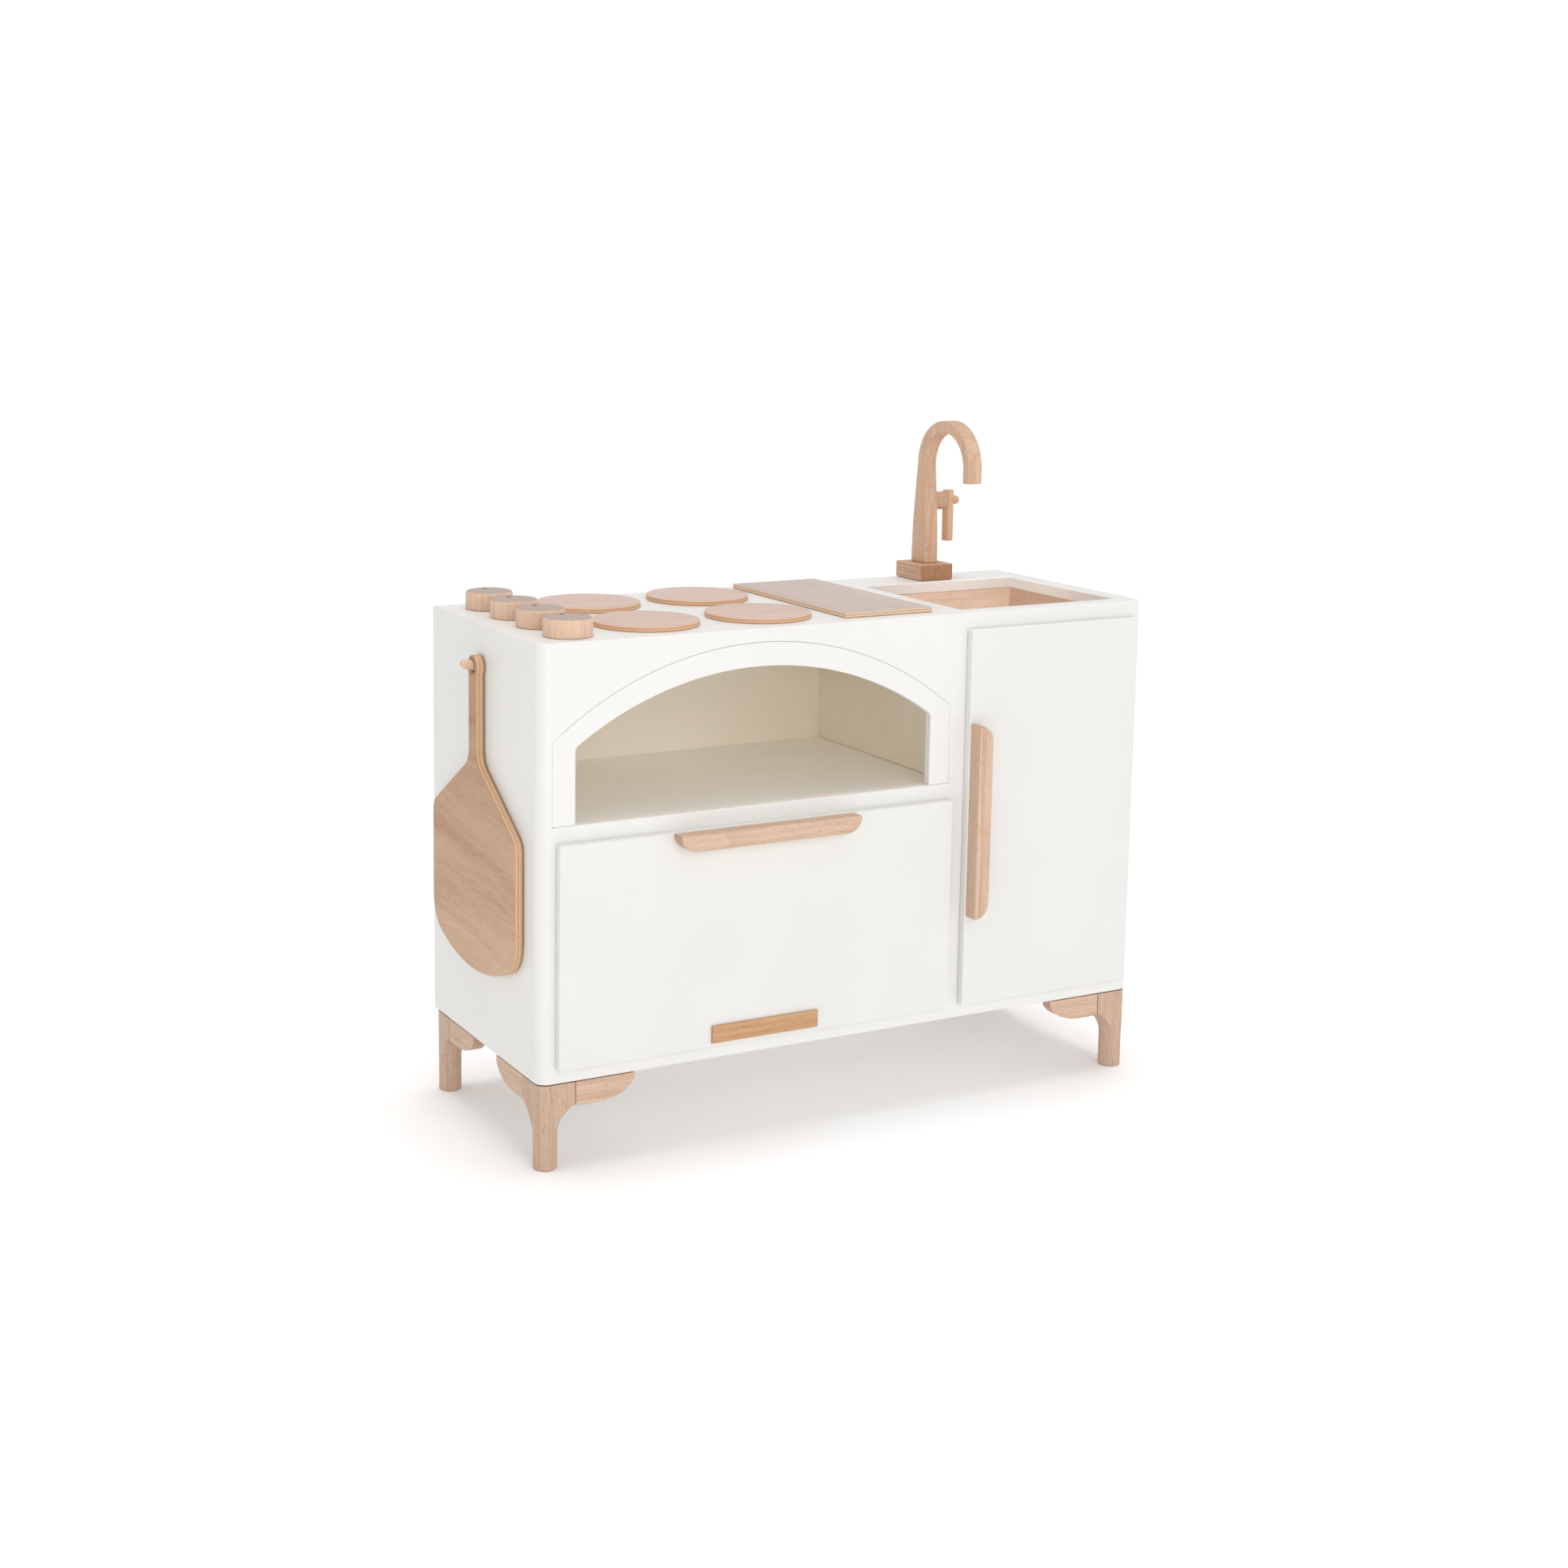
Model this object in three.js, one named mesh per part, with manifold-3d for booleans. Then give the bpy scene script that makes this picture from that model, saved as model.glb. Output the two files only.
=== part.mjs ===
// A free-standing wooden toy kitchen: a painted case on four beech legs, with an open arched oven,
// a deep pull-out drawer, a hinged cupboard door, a sink with a swivelling tap, four hob discs,
// four turning knobs, a loose cutting board and a pizza peel that hangs from a peg on the left side.
//
// Millimetres, +Z up, front towards -Y. Sub-parts are placed in the case's own frame: x from the left
// side, y from the front face, z from the floor. The exported group then moves the whole kitchen so
// that its origin is on the floor, under the middle of its overall size.
import * as THREE from "three";
import { mergeVertices } from "three/addons/utils/BufferGeometryUtils.js";
import Module from "manifold-3d";

// ---------------------------------------------------------------- driving dimensions

const GAP = 0.3; // between neighbouring pieces

const CASE = { width: 914, depth: 343, bottom: 112.6, top: 667, cornerRadius: 18 };
const SHEET = { side: 18, panel: 16, front: 12, back: 9 };
const DIVIDER_LEFT = 600; // left face of the upright between the oven and the cupboard
const OVEN_FLOOR = 439.4; // top face of the shelf under the oven

// The two edges of the arched band round the oven, on one middle line.
const ARCH_MIDDLE = 307.8;
const ARCH_OUTER = { half: 290.6, radius: 453.9, centreHeight: 195.4, ease: 0 };
const ARCH_INNER = { half: 259, radius: 447.3, centreHeight: 171.2, ease: 4 };

const DRAWER = {
  left: 22.4,
  right: 598.8,
  bottom: 131.8,
  top: 418.7,
  mouth: { left: 36, right: 586, bottom: 144.5, top: 407 },
  boxTop: 350,
  boxDepth: 300,
  wall: 12,
  floor: 6,
  floorInset: 2, // of the floor's underside above the sides' lower edges
  slack: 1.5, // each side, inside the mouth
  runnerWidth: 17,
};

const DOOR = {
  left: 621.5,
  right: 897,
  bottom: 132,
  top: 645.5,
  mouth: { left: 631, right: 888, bottom: 143, top: 636 },
};

const HANDLE = { length: 264, width: 22, reach: 21.5, edgeInset: 1.8 };
const DRAWER_HANDLE_LEFT = 179;
const DOOR_HANDLE_BOTTOM = 256.5;
const NAMEPLATE = { left: 236, right: 392.5, bottom: 138, top: 161, thickness: 3 };

// The round post flares like a trumpet until it fills a square block with one rounded corner.
const LEG = { radius: 15.3, inset: 1, block: 50.8, blockCorner: 14, flareRadius: 42, flareHeight: 45 };
const WING = { length: 83, height: 32, thickness: 19, curveLength: 55, endHeight: 4 };

const SINK = { left: 631.5, right: 886, front: 29, back: 271.5, cornerRadius: 6, wall: 9, floorHeight: 560 };

const HOB = { columns: [190, 355], rows: [92.5, 259.5], radius: 69.8, thickness: 6.4 };
const BOARD = { left: 448.3, right: 583.4, front: 25.6, back: 327.2, thickness: 6.4, cornerRadius: 3 };

const KNOB = { x: 60.5, firstY: 48.5, pitch: 81.6, radius: 31.3, height: 24, edgeRadius: 4, boreDepth: 14 };
const DIMPLE = { radius: 3, depth: 2.5, offset: 17 }; // the drilled mark in a knob's top
const AXLE = { radius: 6, headRadius: 10, headHeight: 4, slack: 0.35 };

const TAP = {
  x: 760.5,
  y: 311,
  base: { width: 56, front: 277.5, back: 342.6, height: 23.4 },
  thickness: 22.5,
  arcY: 253, // centre of the hook
  arcHeight: 836.2,
  outerRadius: 64.5,
  innerRadius: 49.5,
  innerDrop: 1.7,
  footFront: 293,
  footBack: 328.5,
  spoutEnd: 815.5,
  easeBack: { rise: 55, out: 4, drop: 40 }, // control points of the column's two curved edges
  easeFront: { rise: 70, out: 3, drop: 42 },
  tenonRadius: 9,
  tenonDepth: 15,
};
const LEVER = {
  height: 780, // of the pivot
  bossRadius: 13,
  bossLength: 20,
  radius: 8,
  top: 795,
  bottom: 720.5,
  pinRadius: 4,
  pinHeadRadius: 6.3,
  pinHeadLength: 10,
  pinCollar: 2, // straight part of the pin's head, below its dome
  pinDepth: 14, // into the boss
};

const PEEL = {
  y: 178,
  back: 1.1, // distance from the case
  thickness: 12.2,
  holeHeight: 612.5,
  holeRadius: 9,
  headRadius: 15.3,
  neckHalf: 12.3,
  neckFoot: 490,
  neckEase: 17,
  halfWidth: 134.5,
  shoulder: 411,
  shoulderEase: 13,
  bottom: 215.6,
  bottomRadius: 262,
  cornerRadius: 48,
};
const PEG = { radius: 6.2, reach: 28.5, embed: 12, tilt: THREE.MathUtils.degToRad(12), chamfer: 3 };

const HINGE = { cupRadius: 13, cupDepth: 8.7, cupX: 872, heights: [215, 500], armHeight: 14 };
// The hinge arm seen from above: [back from the side panel's face or the cup's centre, y].
const HINGE_PLATE = { thickness: 3.5, front: 34, back: 76, bend: 50 };
const HINGE_CRANK = [[8, 42], [2, 14], [-6, 14], [-6, 1.2], [8, 1.2], [13, 30]];
const CATCH = { height: 400, size: 30, width: 20, front: 2, back: 30, clearance: 2, plate: 1.5 };

const ROUND = 40; // facets round a turned piece
const ARC_STEPS = 8; // facets round a small corner
const ARCH_STEPS = 28; // facets along the oven's arch
const MARGIN = 5; // how far a cutting tool runs past the face that it cuts

// ---------------------------------------------------------------- materials

const FINISHES = {
  paint: { color: 0xf4f2ec, roughness: 0.45, metalness: 0 },
  beech: { color: 0xdcb795, roughness: 0.55, metalness: 0 },
  plyFace: { color: 0xdfb99c, roughness: 0.55, metalness: 0 },
  plywood: { color: 0xe2cdb0, roughness: 0.6, metalness: 0 },
  steel: { color: 0xb9babc, roughness: 0.35, metalness: 0.9 },
};

const makeMaterial = (finish) => new THREE.MeshStandardMaterial(FINISHES[finish]);

// ---------------------------------------------------------------- solids and booleans

const wasm = await Module();
wasm.setup();

function toSolid(geometry) {
  const bare = new THREE.BufferGeometry();
  bare.setAttribute("position", geometry.getAttribute("position"));
  if (geometry.index) bare.setIndex(geometry.index);
  const merged = mergeVertices(bare, 1e-3);
  const mesh = new wasm.Mesh({
    numProp: 3,
    vertProperties: new Float32Array(merged.getAttribute("position").array),
    triVerts: new Uint32Array(merged.index.array),
  });
  return new wasm.Manifold(mesh);
}

function toGeometry(solid) {
  const mesh = solid.getMesh();
  const geometry = new THREE.BufferGeometry();
  geometry.setAttribute("position", new THREE.BufferAttribute(new Float32Array(mesh.vertProperties), 3));
  geometry.setIndex(new THREE.BufferAttribute(new Uint32Array(mesh.triVerts), 1));
  geometry.computeVertexNormals();
  return geometry;
}

function cut(geometry, ...tools) {
  const result = tools.reduce((solid, tool) => solid.subtract(toSolid(tool)), toSolid(geometry));
  return toGeometry(result);
}

function join(geometry, ...others) {
  const result = others.reduce((solid, other) => solid.add(toSolid(other)), toSolid(geometry));
  return toGeometry(result);
}

function common(geometry, ...others) {
  const result = others.reduce((solid, other) => solid.intersect(toSolid(other)), toSolid(geometry));
  return toGeometry(result);
}

// A box between two limits on each axis.
function block([x0, x1], [y0, y1], [z0, z1]) {
  const geometry = new THREE.BoxGeometry(x1 - x0, y1 - y0, z1 - z0);
  return geometry.translate((x0 + x1) / 2, (y0 + y1) / 2, (z0 + z1) / 2);
}

function extrude(shape, depth, curveSegments = ARC_STEPS) {
  return new THREE.ExtrudeGeometry(shape, { depth, bevelEnabled: false, curveSegments });
}

// An outline in x and y, raised from z0 to z1.
function alongZ(shape, [z0, z1], curveSegments) {
  return extrude(shape, z1 - z0, curveSegments).translate(0, 0, z0);
}

// An outline in x and z, from y0 to y1.
function alongY(shape, [y0, y1], curveSegments) {
  return extrude(shape, y1 - y0, curveSegments).rotateX(Math.PI / 2).translate(0, y1, 0);
}

// An outline in y and z, from x0 to x1.
function alongX(shape, [x0, x1], curveSegments) {
  const turn = new THREE.Matrix4().set(0, 0, 1, x0, 1, 0, 0, 0, 0, 1, 0, 0, 0, 0, 0, 1);
  return extrude(shape, x1 - x0, curveSegments).applyMatrix4(turn);
}

// A turned piece about +Z from [radius, height] points that start and end on the axis.
function turned(profile, segments = ROUND) {
  const points = profile.map(([radius, height]) => new THREE.Vector2(radius, height));
  return new THREE.LatheGeometry(points, segments).rotateX(Math.PI / 2);
}

function rod(radius, [z0, z1], segments = ROUND) {
  return turned([[0, z0], [radius, z0], [radius, z1], [0, z1]], segments);
}

function polygon(points) {
  return new THREE.Shape(points.map(([a, b]) => new THREE.Vector2(a, b)));
}

function roundedRectangle(left, right, low, high, radius) {
  const shape = new THREE.Shape();
  shape.moveTo(left + radius, low);
  shape.lineTo(right - radius, low);
  shape.absarc(right - radius, low + radius, radius, -Math.PI / 2, 0, false);
  shape.lineTo(right, high - radius);
  shape.absarc(right - radius, high - radius, radius, 0, Math.PI / 2, false);
  shape.lineTo(left + radius, high);
  shape.absarc(left + radius, high - radius, radius, Math.PI / 2, Math.PI, false);
  shape.lineTo(left, low + radius);
  shape.absarc(left + radius, low + radius, radius, Math.PI, 1.5 * Math.PI, false);
  return shape;
}

const rectangle = (left, right, low, high) =>
  polygon([[left, low], [right, low], [right, high], [left, high]]);

// ---------------------------------------------------------------- the group

const kitchen = new THREE.Group();

function add(name, geometry, finish, parent = kitchen) {
  const mesh = new THREE.Mesh(geometry, makeMaterial(finish));
  mesh.name = name;
  parent.add(mesh);
  return mesh;
}

// ---------------------------------------------------------------- case

const COUNTER_UNDERSIDE = CASE.top - SHEET.panel;
const INNER_LEFT = SHEET.side + GAP;
const INNER_RIGHT = CASE.width - SHEET.side - GAP;
const INNER_FRONT = SHEET.front + GAP;
const BACK_FACE = CASE.depth - SHEET.back;
const INNER_BACK = BACK_FACE - GAP;
const UPRIGHT_SPAN = [CASE.bottom + SHEET.panel + GAP, COUNTER_UNDERSIDE - GAP];
const ON_COUNTER = CASE.top + GAP;

// The plan of the case: square at the back, with both front corners rounded.
function casePrism() {
  const { width, depth, cornerRadius: r } = CASE;
  const plan = new THREE.Shape();
  plan.moveTo(0, depth);
  plan.lineTo(0, r);
  plan.absarc(r, r, r, Math.PI, 1.5 * Math.PI, false);
  plan.lineTo(width - r, 0);
  plan.absarc(width - r, r, r, 1.5 * Math.PI, 2 * Math.PI, false);
  plan.lineTo(width, depth);
  return alongZ(plan, [CASE.bottom - MARGIN, CASE.top + MARGIN]);
}

// Turns a piece made along +Z so that it points out of the left side, tilted up, through the peel's hole.
function pegAxis(geometry) {
  const outerFace = -(PEEL.back + PEEL.thickness);
  const highest = PEEL.holeHeight + PEEL.holeRadius - GAP - PEG.radius / Math.cos(PEG.tilt);
  const height = highest + outerFace * Math.tan(PEG.tilt);
  return geometry.rotateY(PEG.tilt - Math.PI / 2).translate(0, PEEL.y, height);
}

function sidePanel(x0) {
  const span = [CASE.bottom, COUNTER_UNDERSIDE - GAP];
  const panel = block([x0, x0 + SHEET.side], [INNER_FRONT, CASE.depth], span);
  return common(panel, casePrism());
}

function addCase() {
  const bottomSpan = [CASE.bottom, CASE.bottom + SHEET.panel];
  const pegBore = pegAxis(rod(PEG.radius + GAP, [-PEG.embed - 1, MARGIN], 16));
  add("side_panel_left", cut(sidePanel(0), pegBore), "paint");
  add("side_panel_right", sidePanel(CASE.width - SHEET.side), "paint");
  add("bottom_panel", block([INNER_LEFT, INNER_RIGHT], [INNER_FRONT, INNER_BACK], bottomSpan), "paint");
  const backSpan = [CASE.bottom, COUNTER_UNDERSIDE - GAP];
  add("back_panel", block([INNER_LEFT, INNER_RIGHT], [BACK_FACE, CASE.depth], backSpan), "paint");
  const dividerX = [DIVIDER_LEFT, DIVIDER_LEFT + SHEET.panel];
  add("centre_divider", block(dividerX, [INNER_FRONT, INNER_BACK], UPRIGHT_SPAN), "paint");
  const shelfX = [INNER_LEFT, DIVIDER_LEFT - GAP];
  const shelfZ = [OVEN_FLOOR - SHEET.panel, OVEN_FLOOR];
  add("oven_shelf", block(shelfX, [INNER_FRONT, INNER_BACK], shelfZ), "paint");
}

const knobPlaces = [0, 1, 2, 3].map((i) => [KNOB.x, KNOB.firstY + i * KNOB.pitch]);

function addCounter() {
  const slab = block([0, CASE.width], [INNER_FRONT, CASE.depth], [COUNTER_UNDERSIDE, CASE.top]);
  const through = [COUNTER_UNDERSIDE - MARGIN, CASE.top + MARGIN];
  const basin = roundedRectangle(SINK.left, SINK.right, SINK.front, SINK.back, SINK.cornerRadius);
  const bores = knobPlaces.map(([x, y]) => rod(AXLE.radius + AXLE.slack, through, 20).translate(x, y, 0));
  add("counter_top", cut(common(slab, casePrism()), alongZ(basin, through, 4), ...bores), "paint");
}

// The outline of an arch with straight jambs, standing at a height; offset > 0 grows it.
function archOutline({ half: baseHalf, radius: baseRadius, centreHeight, ease }, offset, foot, target) {
  const half = baseHalf + offset;
  const radius = baseRadius + offset;
  const springAngle = Math.acos(half / radius);
  const from = springAngle + ease / radius;
  const spring = centreHeight + radius * Math.sin(springAngle);
  const easedX = radius * Math.cos(from);
  const easedHeight = centreHeight + radius * Math.sin(from);
  target.moveTo(ARCH_MIDDLE + half, foot);
  target.lineTo(ARCH_MIDDLE + half, spring - ease);
  target.quadraticCurveTo(ARCH_MIDDLE + half, spring, ARCH_MIDDLE + easedX, easedHeight);
  target.absarc(ARCH_MIDDLE, centreHeight, radius, from, Math.PI - from, false);
  target.quadraticCurveTo(ARCH_MIDDLE - half, spring, ARCH_MIDDLE - half, spring - ease);
  target.lineTo(ARCH_MIDDLE - half, foot);
  return target;
}

function addFront() {
  const sheet = new THREE.Shape(rectangle(0, CASE.width, CASE.bottom, CASE.top).getPoints());
  for (const { left, right, bottom, top } of [DRAWER.mouth, DOOR.mouth]) {
    sheet.holes.push(new THREE.Path(rectangle(left, right, bottom, top).getPoints()));
  }
  sheet.holes.push(archOutline(ARCH_OUTER, GAP, OVEN_FLOOR, new THREE.Path()));
  add("face_frame", common(alongY(sheet, [0, SHEET.front], ARCH_STEPS), casePrism()), "paint");

  const surround = archOutline(ARCH_OUTER, 0, OVEN_FLOOR + GAP, new THREE.Shape());
  const hollow = archOutline(ARCH_INNER, 0, OVEN_FLOOR - MARGIN, new THREE.Shape());
  const band = alongY(surround, [0, SHEET.front], ARCH_STEPS);
  const gap = alongY(hollow, [-MARGIN, SHEET.front + MARGIN], ARCH_STEPS);
  add("arch_surround", cut(band, gap), "paint");
}

// ---------------------------------------------------------------- legs

const LEG_TOP = CASE.bottom - GAP;

function legPost() {
  const { inset, radius, block: size, blockCorner, flareRadius, flareHeight } = LEG;
  const profile = [[0, 0], [radius, 0]];
  for (let step = 0; step <= ARC_STEPS; step += 1) {
    const angle = (Math.PI / 2) * (step / ARC_STEPS);
    const reach = radius + flareRadius * (1 - Math.cos(angle));
    profile.push([reach, flareHeight + flareRadius * Math.sin(angle)]);
  }
  profile.push([radius + flareRadius, LEG_TOP], [0, LEG_TOP]);
  const centre = inset + radius;
  const post = turned(profile).translate(centre, centre, 0);

  const corner = inset + blockCorner;
  const plan = new THREE.Shape();
  plan.moveTo(inset, size);
  plan.lineTo(inset, corner);
  plan.absarc(corner, corner, blockCorner, Math.PI, 1.5 * Math.PI, false);
  plan.lineTo(size, inset);
  plan.lineTo(size, size);
  return common(post, alongZ(plan, [-MARGIN, LEG_TOP]));
}

function wingOutline() {
  const start = LEG.block + GAP;
  const end = start + WING.length;
  const low = LEG_TOP - WING.height;
  const endLow = LEG_TOP - WING.endHeight;
  const outline = new THREE.Shape();
  outline.moveTo(start, LEG_TOP);
  outline.lineTo(start, low);
  outline.lineTo(end - WING.curveLength, low);
  outline.absellipse(end - WING.curveLength, endLow, WING.curveLength, endLow - low, -Math.PI / 2, 0, false);
  outline.lineTo(end, LEG_TOP);
  return outline;
}

function addLegs() {
  const across = [LEG.inset, LEG.inset + WING.thickness];
  const corners = [
    { leg: "front_left", x: 0, y: 0, turns: 0, wings: ["front", "side"] },
    { leg: "front_right", x: CASE.width, y: 0, turns: 1, wings: ["side", "front"] },
    { leg: "back_right", x: CASE.width, y: CASE.depth, turns: 2, wings: ["back", "side"] },
    { leg: "back_left", x: 0, y: CASE.depth, turns: 3, wings: ["side", "back"] },
  ];
  for (const { leg, x, y, turns, wings } of corners) {
    const corner = new THREE.Group();
    corner.position.set(x, y, 0);
    corner.rotation.z = (turns * Math.PI) / 2;
    add(`leg_${leg}`, legPost(), "beech", corner);
    add(`leg_wing_${leg}_${wings[0]}`, alongY(wingOutline(), across), "beech", corner);
    add(`leg_wing_${leg}_${wings[1]}`, alongX(wingOutline(), across), "beech", corner);
    kitchen.add(corner);
  }
}

// ---------------------------------------------------------------- handles

// A straight bar whose two outer corners are fully rounded; the straight edge is at the origin side.
function handleOutline() {
  const { length, width } = HANDLE;
  const outline = new THREE.Shape();
  outline.moveTo(0, 0);
  outline.absarc(width, 0, width, Math.PI, 1.5 * Math.PI, false);
  outline.lineTo(length - width, -width);
  outline.absarc(length - width, 0, width, 1.5 * Math.PI, 2 * Math.PI, false);
  return outline;
}

// ---------------------------------------------------------------- drawer

const FRONT_PANEL_Y = [-SHEET.front - GAP, -GAP];
const PANEL_FACE = FRONT_PANEL_Y[0];

function addDrawer() {
  const { mouth, wall, slack, boxDepth, boxTop, floor, floorInset, runnerWidth } = DRAWER;
  const outerLeft = mouth.left + slack;
  const outerRight = mouth.right - slack;
  const bottom = mouth.bottom + GAP;
  const boxZ = [bottom, boxTop];
  const innerX = [outerLeft + wall + GAP, outerRight - wall - GAP];
  const frontZ = [DRAWER.bottom, DRAWER.top];
  add("drawer_front", block([DRAWER.left, DRAWER.right], FRONT_PANEL_Y, frontZ), "paint");
  add("drawer_side_left", block([outerLeft, outerLeft + wall], [0, boxDepth], boxZ), "plywood");
  add("drawer_side_right", block([outerRight - wall, outerRight], [0, boxDepth], boxZ), "plywood");
  add("drawer_back", block(innerX, [boxDepth - wall, boxDepth], boxZ), "plywood");
  const floorY = [0, boxDepth - wall - GAP];
  const floorZ = [bottom + floorInset, bottom + floorInset + floor];
  add("drawer_bottom", block(innerX, floorY, floorZ), "plywood");

  const bar = alongY(handleOutline(), [-HANDLE.reach, 0]);
  add("drawer_handle", bar.translate(DRAWER_HANDLE_LEFT, PANEL_FACE - GAP, DRAWER.top), "beech");
  const plateY = [PANEL_FACE - GAP - NAMEPLATE.thickness, PANEL_FACE - GAP];
  const plateZ = [NAMEPLATE.bottom, NAMEPLATE.top];
  add("nameplate", block([NAMEPLATE.left, NAMEPLATE.right], plateY, plateZ), "plyFace");

  const runnerZ = [UPRIGHT_SPAN[0], mouth.bottom];
  const runnerY = [INNER_FRONT, INNER_BACK];
  add("drawer_runner_left", block([mouth.left, mouth.left + runnerWidth], runnerY, runnerZ), "beech");
  add("drawer_runner_right", block([mouth.right - runnerWidth, mouth.right], runnerY, runnerZ), "beech");
}

// ---------------------------------------------------------------- door

// Makes a rod point along -Y from the plane y, at x and z.
const sunkRod = (radius, depth, x, z) => rod(radius, [0, depth], 24).rotateX(Math.PI / 2).translate(x, 0, z);

function addDoor() {
  const cups = HINGE.heights.map((z) => sunkRod(HINGE.cupRadius + GAP, HINGE.cupDepth + 1, HINGE.cupX, z));
  const panel = block([DOOR.left, DOOR.right], FRONT_PANEL_Y, [DOOR.bottom, DOOR.top]);
  add("door_panel", cut(panel, ...cups), "paint");
  const bar = alongY(handleOutline(), [-HANDLE.reach, 0]).rotateY(-Math.PI / 2);
  add(
    "door_handle",
    bar.translate(DOOR.left + HANDLE.edgeInset, PANEL_FACE - GAP, DOOR_HANDLE_BOTTOM),
    "beech",
  );

  const { thickness, front, back, bend } = HINGE_PLATE;
  const arm = polygon([
    [INNER_RIGHT, front],
    [INNER_RIGHT, back],
    [INNER_RIGHT - thickness, back],
    [INNER_RIGHT - thickness, bend],
    ...HINGE_CRANK.map(([x, y]) => [HINGE.cupX + x, y]),
  ]);
  ["lower", "upper"].forEach((place, i) => {
    const z = HINGE.heights[i];
    const armZ = [z - HINGE.armHeight / 2, z + HINGE.armHeight / 2];
    const cup = sunkRod(HINGE.cupRadius, HINGE.cupDepth, HINGE.cupX, z).translate(0, -GAP, 0);
    add(`door_hinge_cup_${place}`, cup, "steel");
    add(`door_hinge_arm_${place}`, alongZ(arm, armZ), "steel");
  });
  addCatch();
}

// A wooden block with a magnet, on the upright beside the door, and the small plate that it holds.
function addCatch() {
  const z = [CATCH.height - CATCH.size / 2, CATCH.height + CATCH.size / 2];
  const dividerFace = DIVIDER_LEFT + SHEET.panel + GAP;
  const left = DOOR.mouth.left + CATCH.clearance;
  const right = left + CATCH.width;
  const holder = polygon([
    [dividerFace, INNER_FRONT],
    [left, INNER_FRONT],
    [left, CATCH.front],
    [right, CATCH.front],
    [right, CATCH.back],
    [dividerFace, CATCH.back],
  ]);
  add("door_magnet", alongZ(holder, z), "beech");
  add("door_strike_plate", block([left, right], [0, CATCH.plate], z), "steel");
}

// ---------------------------------------------------------------- sink

function addSink() {
  const { left, right, front, back, wall, cornerRadius, floorHeight } = SINK;
  const outer = block(
    [left - wall, right + wall],
    [front - wall, back + wall],
    [floorHeight - wall, COUNTER_UNDERSIDE - GAP],
  );
  const hollow = roundedRectangle(left, right, front, back, cornerRadius);
  add("sink_basin", cut(outer, alongZ(hollow, [floorHeight, CASE.top], 4)), "beech");
}

// ---------------------------------------------------------------- hob, knobs and board

function addHob() {
  const rows = ["front", "back"];
  const columns = ["left", "right"];
  HOB.rows.forEach((y, row) => {
    HOB.columns.forEach((x, column) => {
      const disc = rod(HOB.radius, [ON_COUNTER, ON_COUNTER + HOB.thickness], 56).translate(x, y, 0);
      add(`hob_disc_${rows[row]}_${columns[column]}`, disc, "plyFace");
    });
  });
}

function knobBody() {
  const { radius, height, edgeRadius, boreDepth } = KNOB;
  const bore = AXLE.radius + GAP;
  const edge = [1, 2, 3, 4].map((step) => {
    const angle = (step / 4) * (Math.PI / 2);
    const out = radius - edgeRadius + edgeRadius * Math.cos(angle);
    return [out, height - edgeRadius + edgeRadius * Math.sin(angle)];
  });
  const profile = [[0, boreDepth], [bore, boreDepth], [bore, 0], [radius, 0], [radius, height - edgeRadius]];
  const body = turned([...profile, ...edge, [0, height]]);
  const dimple = rod(DIMPLE.radius, [height - DIMPLE.depth, height + MARGIN], 12);
  return cut(body, dimple.translate(0, DIMPLE.offset, 0));
}

function axleBody() {
  const headTop = COUNTER_UNDERSIDE - GAP;
  const headBottom = headTop - AXLE.headHeight;
  const top = ON_COUNTER + KNOB.boreDepth - GAP;
  const profile = [
    [0, headBottom],
    [AXLE.headRadius, headBottom],
    [AXLE.headRadius, headTop],
    [AXLE.radius, headTop],
    [AXLE.radius, top],
    [0, top],
  ];
  return turned(profile, 20);
}

function addKnobs() {
  knobPlaces.forEach(([x, y], i) => {
    add(`knob_${i + 1}`, knobBody().translate(x, y, ON_COUNTER), "beech");
    add(`knob_axle_${i + 1}`, axleBody().translate(x, y, 0), "beech");
  });
}

function addBoard() {
  const { left, right, front, back, thickness, cornerRadius } = BOARD;
  const outline = roundedRectangle(left, right, front, back, cornerRadius);
  add("cutting_board", alongZ(outline, [ON_COUNTER, ON_COUNTER + thickness], 3), "plyFace");
}

// ---------------------------------------------------------------- tap

const TAP_BASE_TOP = ON_COUNTER + TAP.base.height;
const TAP_FOOT = TAP_BASE_TOP + GAP;

// The hook in y and z: a tapering column that turns over towards the front.
function hookOutline() {
  const { arcY, arcHeight, outerRadius, innerRadius, innerDrop, footFront, footBack, spoutEnd } = TAP;
  const innerHeight = arcHeight - innerDrop;
  const outline = new THREE.Shape();
  outline.moveTo(footFront, TAP_FOOT);
  outline.lineTo(footBack, TAP_FOOT);
  const backTop = arcY + outerRadius;
  const { easeBack, easeFront } = TAP;
  const backRise = TAP_FOOT + easeBack.rise;
  const backDrop = arcHeight - easeBack.drop;
  outline.bezierCurveTo(footBack, backRise, backTop + easeBack.out, backDrop, backTop, arcHeight);
  outline.absarc(arcY, arcHeight, outerRadius, 0, Math.PI, false);
  outline.lineTo(arcY - outerRadius, spoutEnd);
  outline.lineTo(arcY - innerRadius, spoutEnd);
  outline.lineTo(arcY - innerRadius, innerHeight);
  outline.absarc(arcY, innerHeight, innerRadius, Math.PI, 0, true);
  const frontRise = TAP_FOOT + easeFront.rise;
  const frontDrop = arcHeight - easeFront.drop;
  const frontTop = arcY + innerRadius - easeFront.out;
  outline.bezierCurveTo(frontTop, frontDrop, footFront, frontRise, footFront, TAP_FOOT);
  return outline;
}

const alongXFrom = (geometry, x, y, z) => geometry.rotateY(Math.PI / 2).translate(x, y, z);

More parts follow.
